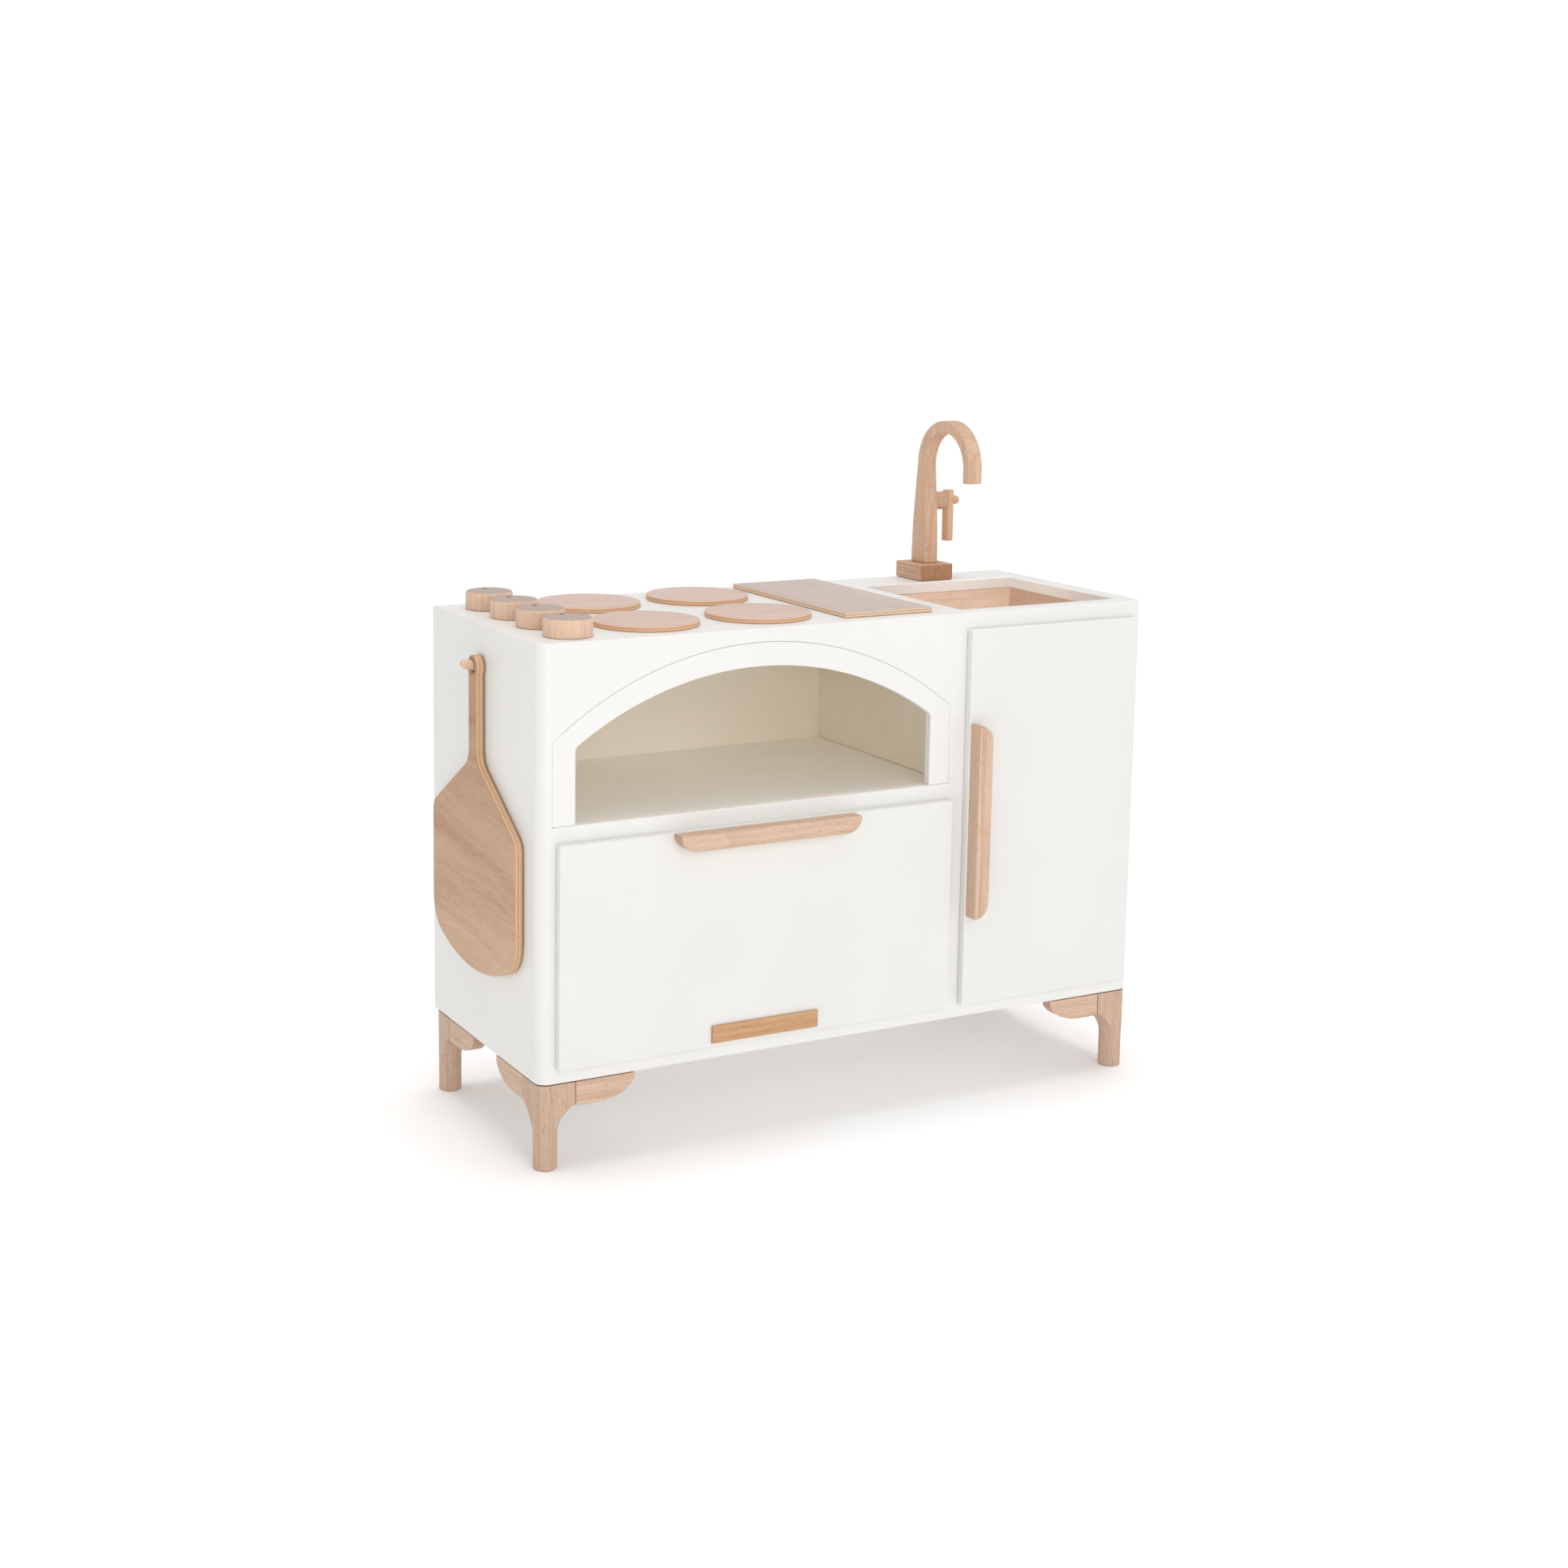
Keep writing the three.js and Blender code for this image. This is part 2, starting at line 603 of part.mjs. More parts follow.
function addTap() {
  const { x, y, base, thickness, tenonRadius, tenonDepth } = TAP;
  const baseBlock = block(
    [x - base.width / 2, x + base.width / 2],
    [base.front, base.back],
    [ON_COUNTER, TAP_BASE_TOP],
  );
  const socket = rod(tenonRadius + GAP, [TAP_BASE_TOP - tenonDepth - 1, TAP_BASE_TOP + MARGIN], 24);
  add("tap_base", cut(baseBlock, socket.translate(x, y, 0)), "beech");

  const halfThick = thickness / 2;
  const hook = alongX(hookOutline(), [x - halfThick, x + halfThick], 14);
  const tenon = rod(tenonRadius, [TAP_BASE_TOP - tenonDepth, TAP_FOOT + 2], 24).translate(x, y, 0);
  add("tap_spout", join(hook, tenon), "beech");

  const bossFrom = x + halfThick + GAP;
  const bossTo = bossFrom + LEVER.bossLength - GAP;
  const pinFrom = bossTo - LEVER.pinDepth;
  const boss = alongXFrom(rod(LEVER.bossRadius, [0, bossTo - bossFrom], 28), bossFrom, y, LEVER.height);
  const bore = rod(LEVER.pinRadius + GAP, [-1, LEVER.pinDepth + 1], 16);
  const bossBore = alongXFrom(bore, pinFrom, y, LEVER.height);
  add("tap_lever_boss", cut(boss, bossBore), "beech");

  const leverX = bossTo + GAP + LEVER.radius;
  const stem = rod(LEVER.radius, [LEVER.bottom, LEVER.top], 24).translate(leverX, y, 0);
  const cross = rod(LEVER.pinRadius + GAP, [-LEVER.radius - MARGIN, LEVER.radius + MARGIN], 16);
  const crossBore = alongXFrom(cross, leverX, y, LEVER.height);
  add("tap_lever", cut(stem, crossBore), "beech");

  const headAt = leverX + LEVER.radius + GAP - pinFrom;
  const domeSteps = 5;
  const dome = Array.from({ length: domeSteps + 1 }, (_, i) => {
    const angle = (i / domeSteps) * (Math.PI / 2);
    const domeHeight = LEVER.pinHeadLength - LEVER.pinCollar;
    const along = headAt + LEVER.pinCollar + domeHeight * Math.sin(angle);
    return [i === domeSteps ? 0 : LEVER.pinHeadRadius * Math.cos(angle), along];
  });
  const pinProfile = [[0, 0], [LEVER.pinRadius, 0], [LEVER.pinRadius, headAt], [LEVER.pinHeadRadius, headAt]];
  const pin = turned([...pinProfile, ...dome], 16);
  add("tap_lever_pin", alongXFrom(pin, pinFrom, y, LEVER.height), "beech");
}

// ---------------------------------------------------------------- peel

// Draws a line towards a corner and rounds the corner off, starting at a distance from it.
function easedCorner(path, corner, next, distance) {
  const from = path.currentPoint.clone();
  const start = from.sub(corner).setLength(distance).add(corner);
  const end = next.clone().sub(corner).setLength(distance).add(corner);
  path.lineTo(start.x, start.y);
  path.quadraticCurveTo(corner.x, corner.y, end.x, end.y);
}

// The blade and handle in y and z: the right half from the foot up to the head, then its mirror image.
function peelOutline() {
  const { bottom, bottomRadius, cornerRadius, halfWidth } = PEEL;
  const { neckHalf, headRadius, holeHeight, holeRadius } = PEEL;
  const bottomCentre = bottom + bottomRadius;
  const cornerY = halfWidth - cornerRadius;
  const meet = Math.asin(cornerY / (bottomRadius - cornerRadius));
  const cornerZ = bottomCentre - (bottomRadius - cornerRadius) * Math.cos(meet);
  const shoulder = new THREE.Vector2(halfWidth, PEEL.shoulder);
  const neckFoot = new THREE.Vector2(neckHalf, PEEL.neckFoot);
  const neckTop = new THREE.Vector2(neckHalf, holeHeight);
  const half = new THREE.Path();
  half.absarc(0, bottomCentre, bottomRadius, 1.5 * Math.PI, 1.5 * Math.PI + meet, false);
  half.absarc(cornerY, cornerZ, cornerRadius, 1.5 * Math.PI + meet, 2 * Math.PI, false);
  easedCorner(half, shoulder, neckFoot, PEEL.shoulderEase);
  easedCorner(half, neckFoot, neckTop, PEEL.neckEase);
  half.absarc(0, holeHeight, headRadius, Math.asin(neckHalf / headRadius) - Math.PI / 2, Math.PI / 2, false);
  const right = half.getPoints(10);
  const left = right.slice(1, -1).reverse().map((point) => new THREE.Vector2(-point.x, point.y));
  const outline = new THREE.Shape([...right, ...left]);
  const hole = new THREE.Path();
  hole.absarc(0, holeHeight, holeRadius, 0, 2 * Math.PI, true);
  outline.holes.push(hole);
  return outline;
}

function addPeel() {
  const back = -PEEL.back;
  const blade = alongX(peelOutline(), [back - PEEL.thickness, back], 12);
  add("pizza_peel", blade.translate(0, PEEL.y, 0), "plyFace");
  const start = -PEG.embed;
  const end = PEG.reach / Math.cos(PEG.tilt);
  const tip = PEG.radius - PEG.chamfer;
  const profile = [[0, start], [PEG.radius, start], [PEG.radius, end - PEG.chamfer], [tip, end], [0, end]];
  add("peel_peg", pegAxis(turned(profile, 20)), "beech");
}

// ---------------------------------------------------------------- assembly

addCase();
addCounter();
addFront();
addLegs();
addDrawer();
addDoor();
addSink();
addHob();
addKnobs();
addBoard();
addTap();
addPeel();

// The overall size, for the origin under its middle.
const bounds = new THREE.Box3().setFromObject(kitchen, true);
kitchen.position.set(-(bounds.min.x + bounds.max.x) / 2, -(bounds.min.y + bounds.max.y) / 2, 0);

export default kitchen;
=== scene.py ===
import math

import bmesh
import bpy
from mathutils import Matrix, Vector


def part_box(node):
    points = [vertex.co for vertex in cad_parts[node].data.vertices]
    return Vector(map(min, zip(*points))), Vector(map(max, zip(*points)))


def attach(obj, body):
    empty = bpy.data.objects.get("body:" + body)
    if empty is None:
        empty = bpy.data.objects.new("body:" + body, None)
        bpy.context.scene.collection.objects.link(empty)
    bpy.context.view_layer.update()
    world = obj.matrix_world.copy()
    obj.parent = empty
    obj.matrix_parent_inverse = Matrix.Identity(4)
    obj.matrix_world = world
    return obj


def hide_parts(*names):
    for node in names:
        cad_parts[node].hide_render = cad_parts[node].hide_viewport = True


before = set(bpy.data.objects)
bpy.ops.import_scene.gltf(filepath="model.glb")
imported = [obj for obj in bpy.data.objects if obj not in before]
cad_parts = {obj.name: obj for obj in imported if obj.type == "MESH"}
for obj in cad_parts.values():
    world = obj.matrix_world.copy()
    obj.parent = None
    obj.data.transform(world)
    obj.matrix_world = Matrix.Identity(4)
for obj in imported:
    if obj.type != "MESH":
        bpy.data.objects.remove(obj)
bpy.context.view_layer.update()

MM = 0.001
SCENE = bpy.context.scene

# ---------------------------------------------------------------- places taken from the CAD model

CASE_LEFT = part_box("side_panel_left")[0].x
CASE_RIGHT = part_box("side_panel_right")[1].x
CASE_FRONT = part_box("face_frame")[0].y
CASE_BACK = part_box("back_panel")[1].y
CASE_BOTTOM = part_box("bottom_panel")[0].z
CEILING, CASE_TOP = (corner.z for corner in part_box("counter_top"))
SHEET_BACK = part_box("face_frame")[1].y
OVEN_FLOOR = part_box("oven_shelf")[1].z
INNER_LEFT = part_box("side_panel_left")[1].x
INNER_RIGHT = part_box("side_panel_right")[0].x
DIVIDER_LEFT, DIVIDER_RIGHT = (corner.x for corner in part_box("centre_divider"))
PANEL_LOW, PANEL_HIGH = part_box("back_panel")


def across(x):
    """Millimetres from the case's left side as an x of the frame."""
    return CASE_LEFT + x * MM


def inward(y):
    """Millimetres behind the case's front face as a y of the frame."""
    return CASE_FRONT + y * MM


# ---------------------------------------------------------------- mesh helpers

def link(name, bm, smooth=True):
    """A new object from a bmesh, with its faces turned outwards. The bmesh is used up."""
    bmesh.ops.recalc_face_normals(bm, faces=bm.faces)
    mesh = bpy.data.meshes.new(name)
    bm.to_mesh(mesh)
    bm.free()
    mesh.shade_smooth() if smooth else mesh.shade_flat()
    obj = bpy.data.objects.new(name, mesh)
    SCENE.collection.objects.link(obj)
    return obj


AXES = {"X": (1, 2, 0), "Y": (0, 2, 1), "Z": (0, 1, 2)}


def oriented(axis, u, v, w):
    """A point whose third coordinate w lies along the axis."""
    point = [0.0, 0.0, 0.0]
    for place, value in zip(AXES[axis], (u, v, w)):
        point[place] = value
    return Vector(point)


def prism(name, outline, axis, low, high):
    """A closed outline of (u, v) points, raised from low to high along the axis."""
    bm = bmesh.new()
    ends = [[bm.verts.new(oriented(axis, u, v, w)) for u, v in outline] for w in (low, high)]
    for ring in ends:
        bm.faces.new(ring)
    count = len(outline)
    for i in range(count):
        j = (i + 1) % count
        bm.faces.new((ends[0][i], ends[0][j], ends[1][j], ends[1][i]))
    return link(name, bm)


def block(name, low, high):
    """A box between two opposite corners."""
    outline = [(low[0], low[1]), (high[0], low[1]), (high[0], high[1]), (low[0], high[1])]
    return prism(name, outline, "Z", low[2], high[2])


def arc(centre, radius, start, end, steps, height_radius=None):
    """Points on an arc or ellipse between two angles in degrees, both ends included."""
    tall = radius if height_radius is None else height_radius
    angles = [math.radians(start + (end - start) * i / steps) for i in range(steps + 1)]
    return [(centre[0] + radius * math.cos(a), centre[1] + tall * math.sin(a)) for a in angles]


def on_curve(controls, t):
    """The point at t, from 0 to 1, of the Bezier curve with these control points."""
    points = [tuple(control) for control in controls]
    while len(points) > 1:
        points = [tuple(a + (b - a) * t for a, b in zip(p, q)) for p, q in zip(points, points[1:])]
    return points[0]


def lathe(name, profile, centre, axis="Z", segments=96):
    """A turned piece from (radius, height) points that start and end on the axis."""
    bm = bmesh.new()
    turn = [2 * math.pi * i / segments for i in range(segments)]
    rings = []
    for radius, height in profile:
        if radius < 1e-9:
            points = [(0, 0)]
        else:
            points = [(radius * math.cos(a), radius * math.sin(a)) for a in turn]
        rings.append([bm.verts.new(oriented(axis, u, v, height)) for u, v in points])
    for lower, upper in zip(rings, rings[1:]):
        for i in range(segments):
            j = (i + 1) % segments
            below = [lower[i % len(lower)], lower[j % len(lower)]]
            above = [upper[j % len(upper)], upper[i % len(upper)]]
            unique = list(dict.fromkeys(below + above))
            if len(unique) > 2:
                bm.faces.new(unique)
    bmesh.ops.translate(bm, verts=bm.verts, vec=Vector(centre))
    return link(name, bm)


def rounded_rod(radius, low, high, low_round, high_round, steps=5):
    """A (radius, height) profile of a rod with rounded ends."""
    angles = [math.pi / 2 * i / steps for i in range(steps + 1)]
    points = [(0, low)]
    for a in angles:
        points.append((radius - low_round * (1 - math.sin(a)), low + low_round * (1 - math.cos(a))))
    for a in angles:
        points.append((radius - high_round * (1 - math.cos(a)), high - high_round * (1 - math.sin(a))))
    return points + [(0, high)]


def cleaned(mesh, merge=2e-6, flat=math.radians(0.4)):
    """Merges the vertices of a mesh and dissolves the edges inside its flat faces."""
    bm = bmesh.new()
    bm.from_mesh(mesh)
    bmesh.ops.remove_doubles(bm, verts=bm.verts, dist=merge)
    bmesh.ops.dissolve_limit(bm, angle_limit=flat, verts=bm.verts, edges=bm.edges)
    return bm


def from_node(node):
    """A clean copy of a CAD node's mesh."""
    return link(node + "_shaped", cleaned(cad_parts[node].data))


def combine(obj, others, operation="DIFFERENCE"):
    """Cuts the other objects from obj, or keeps only what it shares with them, and removes them."""
    for other in others:
        modifier = obj.modifiers.new("combine", "BOOLEAN")
        modifier.operation = operation
        modifier.solver = "EXACT"
        modifier.object = other
    evaluated = obj.evaluated_get(bpy.context.evaluated_depsgraph_get())
    raw = bpy.data.meshes.new_from_object(evaluated)
    obj.modifiers.clear()
    bm = cleaned(raw)
    bmesh.ops.recalc_face_normals(bm, faces=bm.faces)
    bm.to_mesh(obj.data)
    bm.free()
    obj.data.shade_smooth()
    bpy.data.meshes.remove(raw)
    for other in others:
        bpy.data.objects.remove(other)
    return obj


def soften(obj, width, segments=3, angle=32, share=None):
    """Rounds convex edges sharper than an angle, by share(middle of the edge) of the width."""
    bm = bmesh.new()
    bm.from_mesh(obj.data)
    weights = bm.edges.layers.float.new("bevel_weight_edge")
    for edge in bm.edges:
        closed = len(edge.link_faces) == 2
        if closed and edge.is_convex and edge.calc_face_angle() > math.radians(angle):
            middle = (edge.verts[0].co + edge.verts[1].co) / 2
            edge[weights] = 1.0 if share is None else share(middle)
    bm.to_mesh(obj.data)
    bm.free()
    bevel = obj.modifiers.new("rounded_edges", "BEVEL")
    bevel.width = width
    bevel.segments = segments
    bevel.limit_method = "WEIGHT"
    bevel.use_clamp_overlap = False
    bevel.loop_slide = False
    bevel.harden_normals = True
    bevel.miter_outer = "MITER_ARC"
    even = obj.modifiers.new("even_shading", "WEIGHTED_NORMAL")
    even.keep_sharp = True
    return obj


def place(obj, body, slot, material, *nodes):
    """Gives a piece its material and the body it rides on, and hides the CAD nodes it stands for. Its slot
    is not used.
    """
    if not obj.data.materials:
        obj.data.materials.append(material)
    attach(obj, body)
    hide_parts(*nodes)
    return obj


# ---------------------------------------------------------------- material helpers

class Shader:
    """A small builder for a node material."""

    def __init__(self, name):
        self.material = bpy.data.materials.new(name)
        self.material.use_nodes = True
        self.tree = self.material.node_tree
        self.tree.nodes.clear()
        self.out = self.tree.nodes.new("ShaderNodeOutputMaterial")
        self.surface = self.tree.nodes.new("ShaderNodeBsdfPrincipled")
        self.tree.links.new(self.surface.outputs[0], self.out.inputs[0])
        self.coordinates = self.tree.nodes.new("ShaderNodeTexCoord")

    def put(self, socket, value):
        if isinstance(value, bpy.types.NodeSocket):
            self.tree.links.new(value, socket)
        elif value is not None:
            socket.default_value = value

    def node(self, kind, values, output=0, **settings):
        made = self.tree.nodes.new("ShaderNode" + kind)
        for key, value in settings.items():
            setattr(made, key, value)
        for key, value in values.items():
            self.put(made.inputs[key], value)
        return made.outputs[output]

    def math(self, operation, a, b=None, c=None, clamp=False):
        values = {i: v for i, v in enumerate((a, b, c)) if v is not None}
        return self.node("Math", values, operation=operation, use_clamp=clamp)

    def split(self, vector):
        made = self.tree.nodes.new("ShaderNodeSeparateXYZ")
        self.tree.links.new(vector, made.inputs[0])
        return made.outputs[0], made.outputs[1], made.outputs[2]

    def join(self, x, y, z):
        return self.node("CombineXYZ", {0: x, 1: y, 2: z})

    def scaled(self, vector, by):
        return self.node("VectorMath", {0: vector, 1: by}, operation="MULTIPLY")

    def noise(self, vector, scale, detail=3.0, roughness=0.55):
        values = {"Vector": vector, "Scale": scale, "Detail": detail, "Roughness": roughness}
        return self.node("TexNoise", values)

    def between(self, value, low, high):
        """0 below low, 1 above high, smooth between them."""
        values = {"Value": value, "From Min": low, "From Max": high}
        return self.node("MapRange", values, interpolation_type="SMOOTHSTEP")

    def mix(self, share, a, b, blend="MIX"):
        """Colour b over colour a by a share, or both combined by another blend mode."""
        made = self.tree.nodes.new("ShaderNodeMix")
        made.data_type = "RGBA"
        made.blend_type = blend
        self.put(made.inputs[0], share)
        self.put(made.inputs[6], a)
        self.put(made.inputs[7], b)
        return made.outputs[2]

    def ramp(self, value, stops):
        """A colour read from a value between 0 and 1, by stops of (position, colour)."""
        made = self.tree.nodes.new("ShaderNodeValToRGB")
        elements = made.color_ramp.elements
        while len(elements) < len(stops):
            elements.new(0.5)
        for element, (position, colour) in zip(elements, stops):
            element.position = position
            element.color = colour
        self.put(made.inputs[0], value)
        return made.outputs[0]

    def bump(self, height, strength, distance):
        return self.node("Bump", {"Height": height, "Strength": strength, "Distance": distance})

    def finish(self, colour, roughness, normal=None, metallic=0.0):
        self.put(self.surface.inputs["Base Color"], colour)
        self.put(self.surface.inputs["Roughness"], roughness)
        self.surface.inputs["Metallic"].default_value = metallic
        if normal is not None:
            self.put(self.surface.inputs["Normal"], normal)
        return self.material


def srgb(red, green, blue):
    """A colour given as 0 to 255 display values, in linear light."""
    def linear(value):
        share = value / 255
        return share / 12.92 if share <= 0.04045 else ((share + 0.055) / 1.055) ** 2.4
    return (linear(red), linear(green), linear(blue), 1.0)


def tinted(colour, factors):
    return tuple(channel * factor for channel, factor in zip(colour, factors)) + (1.0,)


def shade(colour, factor):
    return tinted(colour, (factor, factor, factor))


# ---------------------------------------------------------------- materials

RELIEF_DEPTH = 0.2 * MM
POINTINESS = 7  # the output of the geometry node that is high on convex edges


def painted(name, colour, roughness=0.36):
    """Sprayed satin paint: faint roller mottling, a soft sheen and slightly worn, warmer edges."""
    s = Shader(name)
    position = s.coordinates.outputs["Object"]
    broad = s.noise(position, 5.0, detail=2.0)
    fine = s.noise(position, 420.0, detail=2.0)
    fibres = s.noise(s.scaled(position, (1.0, 1.0, 0.05)), 300.0, detail=2.0)
    tint = s.mix(s.between(broad, 0.3, 0.7), shade(colour, 0.985), shade(colour, 1.01))
    wear = s.between(s.node("NewGeometry", {}, output=POINTINESS), 0.53, 0.6)
    worn = s.math("MULTIPLY", wear, s.between(s.noise(position, 60.0), 0.5, 0.7))
    surface = s.mix(s.math("MULTIPLY", worn, 0.12), tint, srgb(226, 214, 196))
    gloss = s.math("MULTIPLY_ADD", fine, 0.08, roughness - 0.04)
    relief = s.math("ADD", s.math("MULTIPLY", fine, 0.6), s.math("MULTIPLY", fibres, 0.4))
    return s.finish(surface, gloss, s.bump(relief, 0.12, RELIEF_DEPTH))


def along(s, grain):
    """The object's coordinates in an order that puts the one along the grain last."""
    x, y, z = s.split(s.coordinates.outputs["Object"])
    return {"X": (y, z, x), "Y": (x, z, y), "Z": (x, y, z)}[grain]


def along_normal(s, grain):
    """How much the surface faces along the grain, from -1 to 1."""
    return s.split(s.coordinates.outputs["Normal"])["XYZ".index(grain)]


def beech(name, grain, pith, tone=1.0, ring=0.005, warmth=0.0, end=(0.8, 0.76, 0.74), rings=0.22,
          fleck_scale=430.0, cast=(1.0, 1.0, 1.0)):
    """Solid beech: growth rings round a pith, fine fibres, short dark ray flecks and darker ends.

    ring is the width of a year in metres and rings how strongly the years show.
    """
    s = Shader(name)
    a, b, g = along(s, grain)
    facing = s.math("ABSOLUTE", along_normal(s, grain))
    light = tinted(shade(srgb(216, 187 - 3 * warmth, 163 - 7 * warmth), tone), cast)
    dark = tinted(shade(srgb(190, 151 - 4 * warmth, 124 - 8 * warmth), tone), cast)
    wander = s.noise(s.join(a, b, s.math("MULTIPLY", g, 0.3)), 9.0, detail=2.0)
    drift = s.math("MULTIPLY_ADD", wander, 0.024, -0.012)
    from_pith = s.math("ADD", s.math("SUBTRACT", a, pith[0]), drift)
    ringed = s.join(from_pith, s.math("SUBTRACT", b, pith[1]), 0.0)
    radius = s.node("VectorMath", {0: ringed}, output=1, operation="LENGTH")
    year = s.math("FRACT", s.math("DIVIDE", radius, ring))
    late = s.between(year, 0.35, 0.98)
    fibre_space = s.join(a, b, s.math("MULTIPLY", g, 0.02))
    fibres = s.noise(fibre_space, 1100.0, detail=3.0, roughness=0.65)
    streaks = s.noise(fibre_space, 210.0, detail=3.0)
    streaked = s.math("MULTIPLY", s.between(streaks, 0.35, 0.7), 0.36)
    share = s.math("ADD", s.math("MULTIPLY", late, rings), streaked)
    share = s.math("ADD", share, s.math("MULTIPLY", s.between(fibres, 0.38, 0.72), 0.34), clamp=True)
    wood = s.mix(share, light, dark)
    ray_space = s.join(a, b, s.math("MULTIPLY", g, 0.16))
    rays = s.node("TexVoronoi", {"Vector": ray_space, "Scale": fleck_scale})
    fleck = s.math("SUBTRACT", 1.0, s.between(rays, 0.12, 0.3))
    flecked = s.mix(s.math("MULTIPLY", fleck, 0.5), wood, shade(dark, 0.62))
    end_tone = s.mix(1.0, flecked, (*end, 1.0), blend="MULTIPLY")
    colour = s.mix(s.between(facing, 0.45, 0.98), flecked, end_tone)
    rough = s.math("MULTIPLY_ADD", fibres, 0.16, 0.44)
    relief = s.math("SUBTRACT", fibres, s.math("MULTIPLY", fleck, 0.5))
    return s.finish(colour, rough, s.bump(relief, 0.25, RELIEF_DEPTH))


def plywood(name, thickness_axis, low, high, face, face_dark, layers, figure_axis, slant=0.0,
            warm_above=None):
    """Rotary-cut veneer with long, calm waves on the faces, and the glued layers along every edge.

    low and high bound the sheet along its thickness axis. warm_above gives the two heights between which
    the veneer turns warmer.
    """
    contrast = 0.5
    s = Shader(name)
    x, y, z = s.split(s.coordinates.outputs["Object"])
    depth = {"X": x, "Z": z}[thickness_axis]
    facing = s.between(s.math("ABSOLUTE", along_normal(s, thickness_axis)), 0.6, 0.8)
    a, b, g = along(s, figure_axis)
    crossing = s.math("MULTIPLY_ADD", g, slant, b)
    bend = s.noise(s.join(a, crossing, s.math("MULTIPLY", g, 0.6)), 7.0, detail=2.0)
    level_lines = s.math("MULTIPLY_ADD", bend, 0.075, crossing)
    bands = s.noise(s.join(a, level_lines, s.math("MULTIPLY", g, 0.04)), 34.0, detail=3.0, roughness=0.6)
    broad = s.noise(s.join(a, level_lines, s.math("MULTIPLY", g, 0.15)), 9.0, detail=1.0)
    pores = s.noise(s.join(a, b, s.math("MULTIPLY", g, 0.05)), 800.0, detail=3.0)
    share = s.math("MULTIPLY", s.between(bands, 0.3, 0.72), contrast)
    share = s.math("ADD", share, s.math("MULTIPLY", s.between(broad, 0.3, 0.7), contrast * 0.7))
    share = s.math("ADD", share, s.math("MULTIPLY", s.between(pores, 0.4, 0.72), 0.35), clamp=True)
    veneer = s.mix(share, face, face_dark)
    if warm_above is not None:
        rise = s.between(z, *warm_above)
        warm = s.mix(1.0, veneer, (0.78, 0.7, 0.62, 1.0), blend="MULTIPLY")
        veneer = s.mix(rise, veneer, warm)
    dash_space = s.join(a, b, s.math("MULTIPLY", g, 0.2))
    dashes = s.node("TexVoronoi", {"Vector": dash_space, "Scale": 480.0})
    dash = s.math("SUBTRACT", 1.0, s.between(dashes, 0.08, 0.22))
    veneer = s.mix(s.math("MULTIPLY", dash, 0.24), veneer, shade(face_dark, 0.66))
    level = s.math("DIVIDE", s.math("SUBTRACT", depth, low), high - low)
    wobble = s.math("MULTIPLY_ADD", s.noise(s.coordinates.outputs["Object"], 22.0), 0.05, -0.025)
    edge = s.ramp(s.math("ADD", level, wobble), layers)
    speckle = s.noise(s.coordinates.outputs["Object"], 500.0, detail=2.0)
    edge = s.mix(s.math("MULTIPLY", s.between(speckle, 0.45, 0.75), 0.2), edge, shade(face_dark, 0.75))
    colour = s.mix(facing, edge, veneer)
    relief = s.math("SUBTRACT", pores, s.math("MULTIPLY", dash, 0.4))
    rough = s.math("MULTIPLY_ADD", pores, 0.15, 0.42)
    return s.finish(colour, rough, s.bump(relief, 0.2, RELIEF_DEPTH))


def ply_layers(pale, warm, glue, splits, line=0.03):
    """Ramp stops for plies of two tones that alternate, with a dark glue line between each pair."""
    stops = [(0.0, warm)]
    tones = [warm, pale]
    for number, split in enumerate(splits):
        before = tones[number % 2]
        after = tones[(number + 1) % 2]
        stops += [(split - line, before), (split, glue), (split + line, after)]
    return stops + [(1.0, tones[len(splits) % 2])]


def steel(name):
    s = Shader(name)
    stroke = s.scaled(s.coordinates.outputs["Object"], (1.0, 1.0, 12.0))
    brushed = s.noise(stroke, 500.0, detail=2.0)
    rough = s.math("MULTIPLY_ADD", brushed, 0.2, 0.22)
    return s.finish(srgb(196, 197, 200), rough, s.bump(brushed, 0.1, RELIEF_DEPTH / 4), metallic=1.0)


PAINT = painted("white_paint", srgb(233, 232, 229))
# A darker copy of the white paint for the drawer and door fronts: painted shade, where less light falls on
# them.
PAINT_FRONTS_SHADED = painted("white_paint_shaded_on_fronts", srgb(229, 228, 224))
# A brighter, creamier copy of the white paint for the inner faces: painted light and painted warm bounce
# light in the cavities.
PAINT_INSIDE_LIT = painted("cream_paint_inside_lit", srgb(250, 243, 229), roughness=0.5)
# A still brighter copy of the white paint for the oven's floor and the sink's cut edge: painted light.
PAINT_LIT_FLOOR_AND_RIM = painted("white_paint_painted_light", srgb(251, 249, 246), roughness=0.42)
BEECH_X = beech("beech_grain_across", "X", pith=(0.03, 0.4))
BEECH_Y = beech("beech_grain_deep", "Y", pith=(0.3, 0.4))
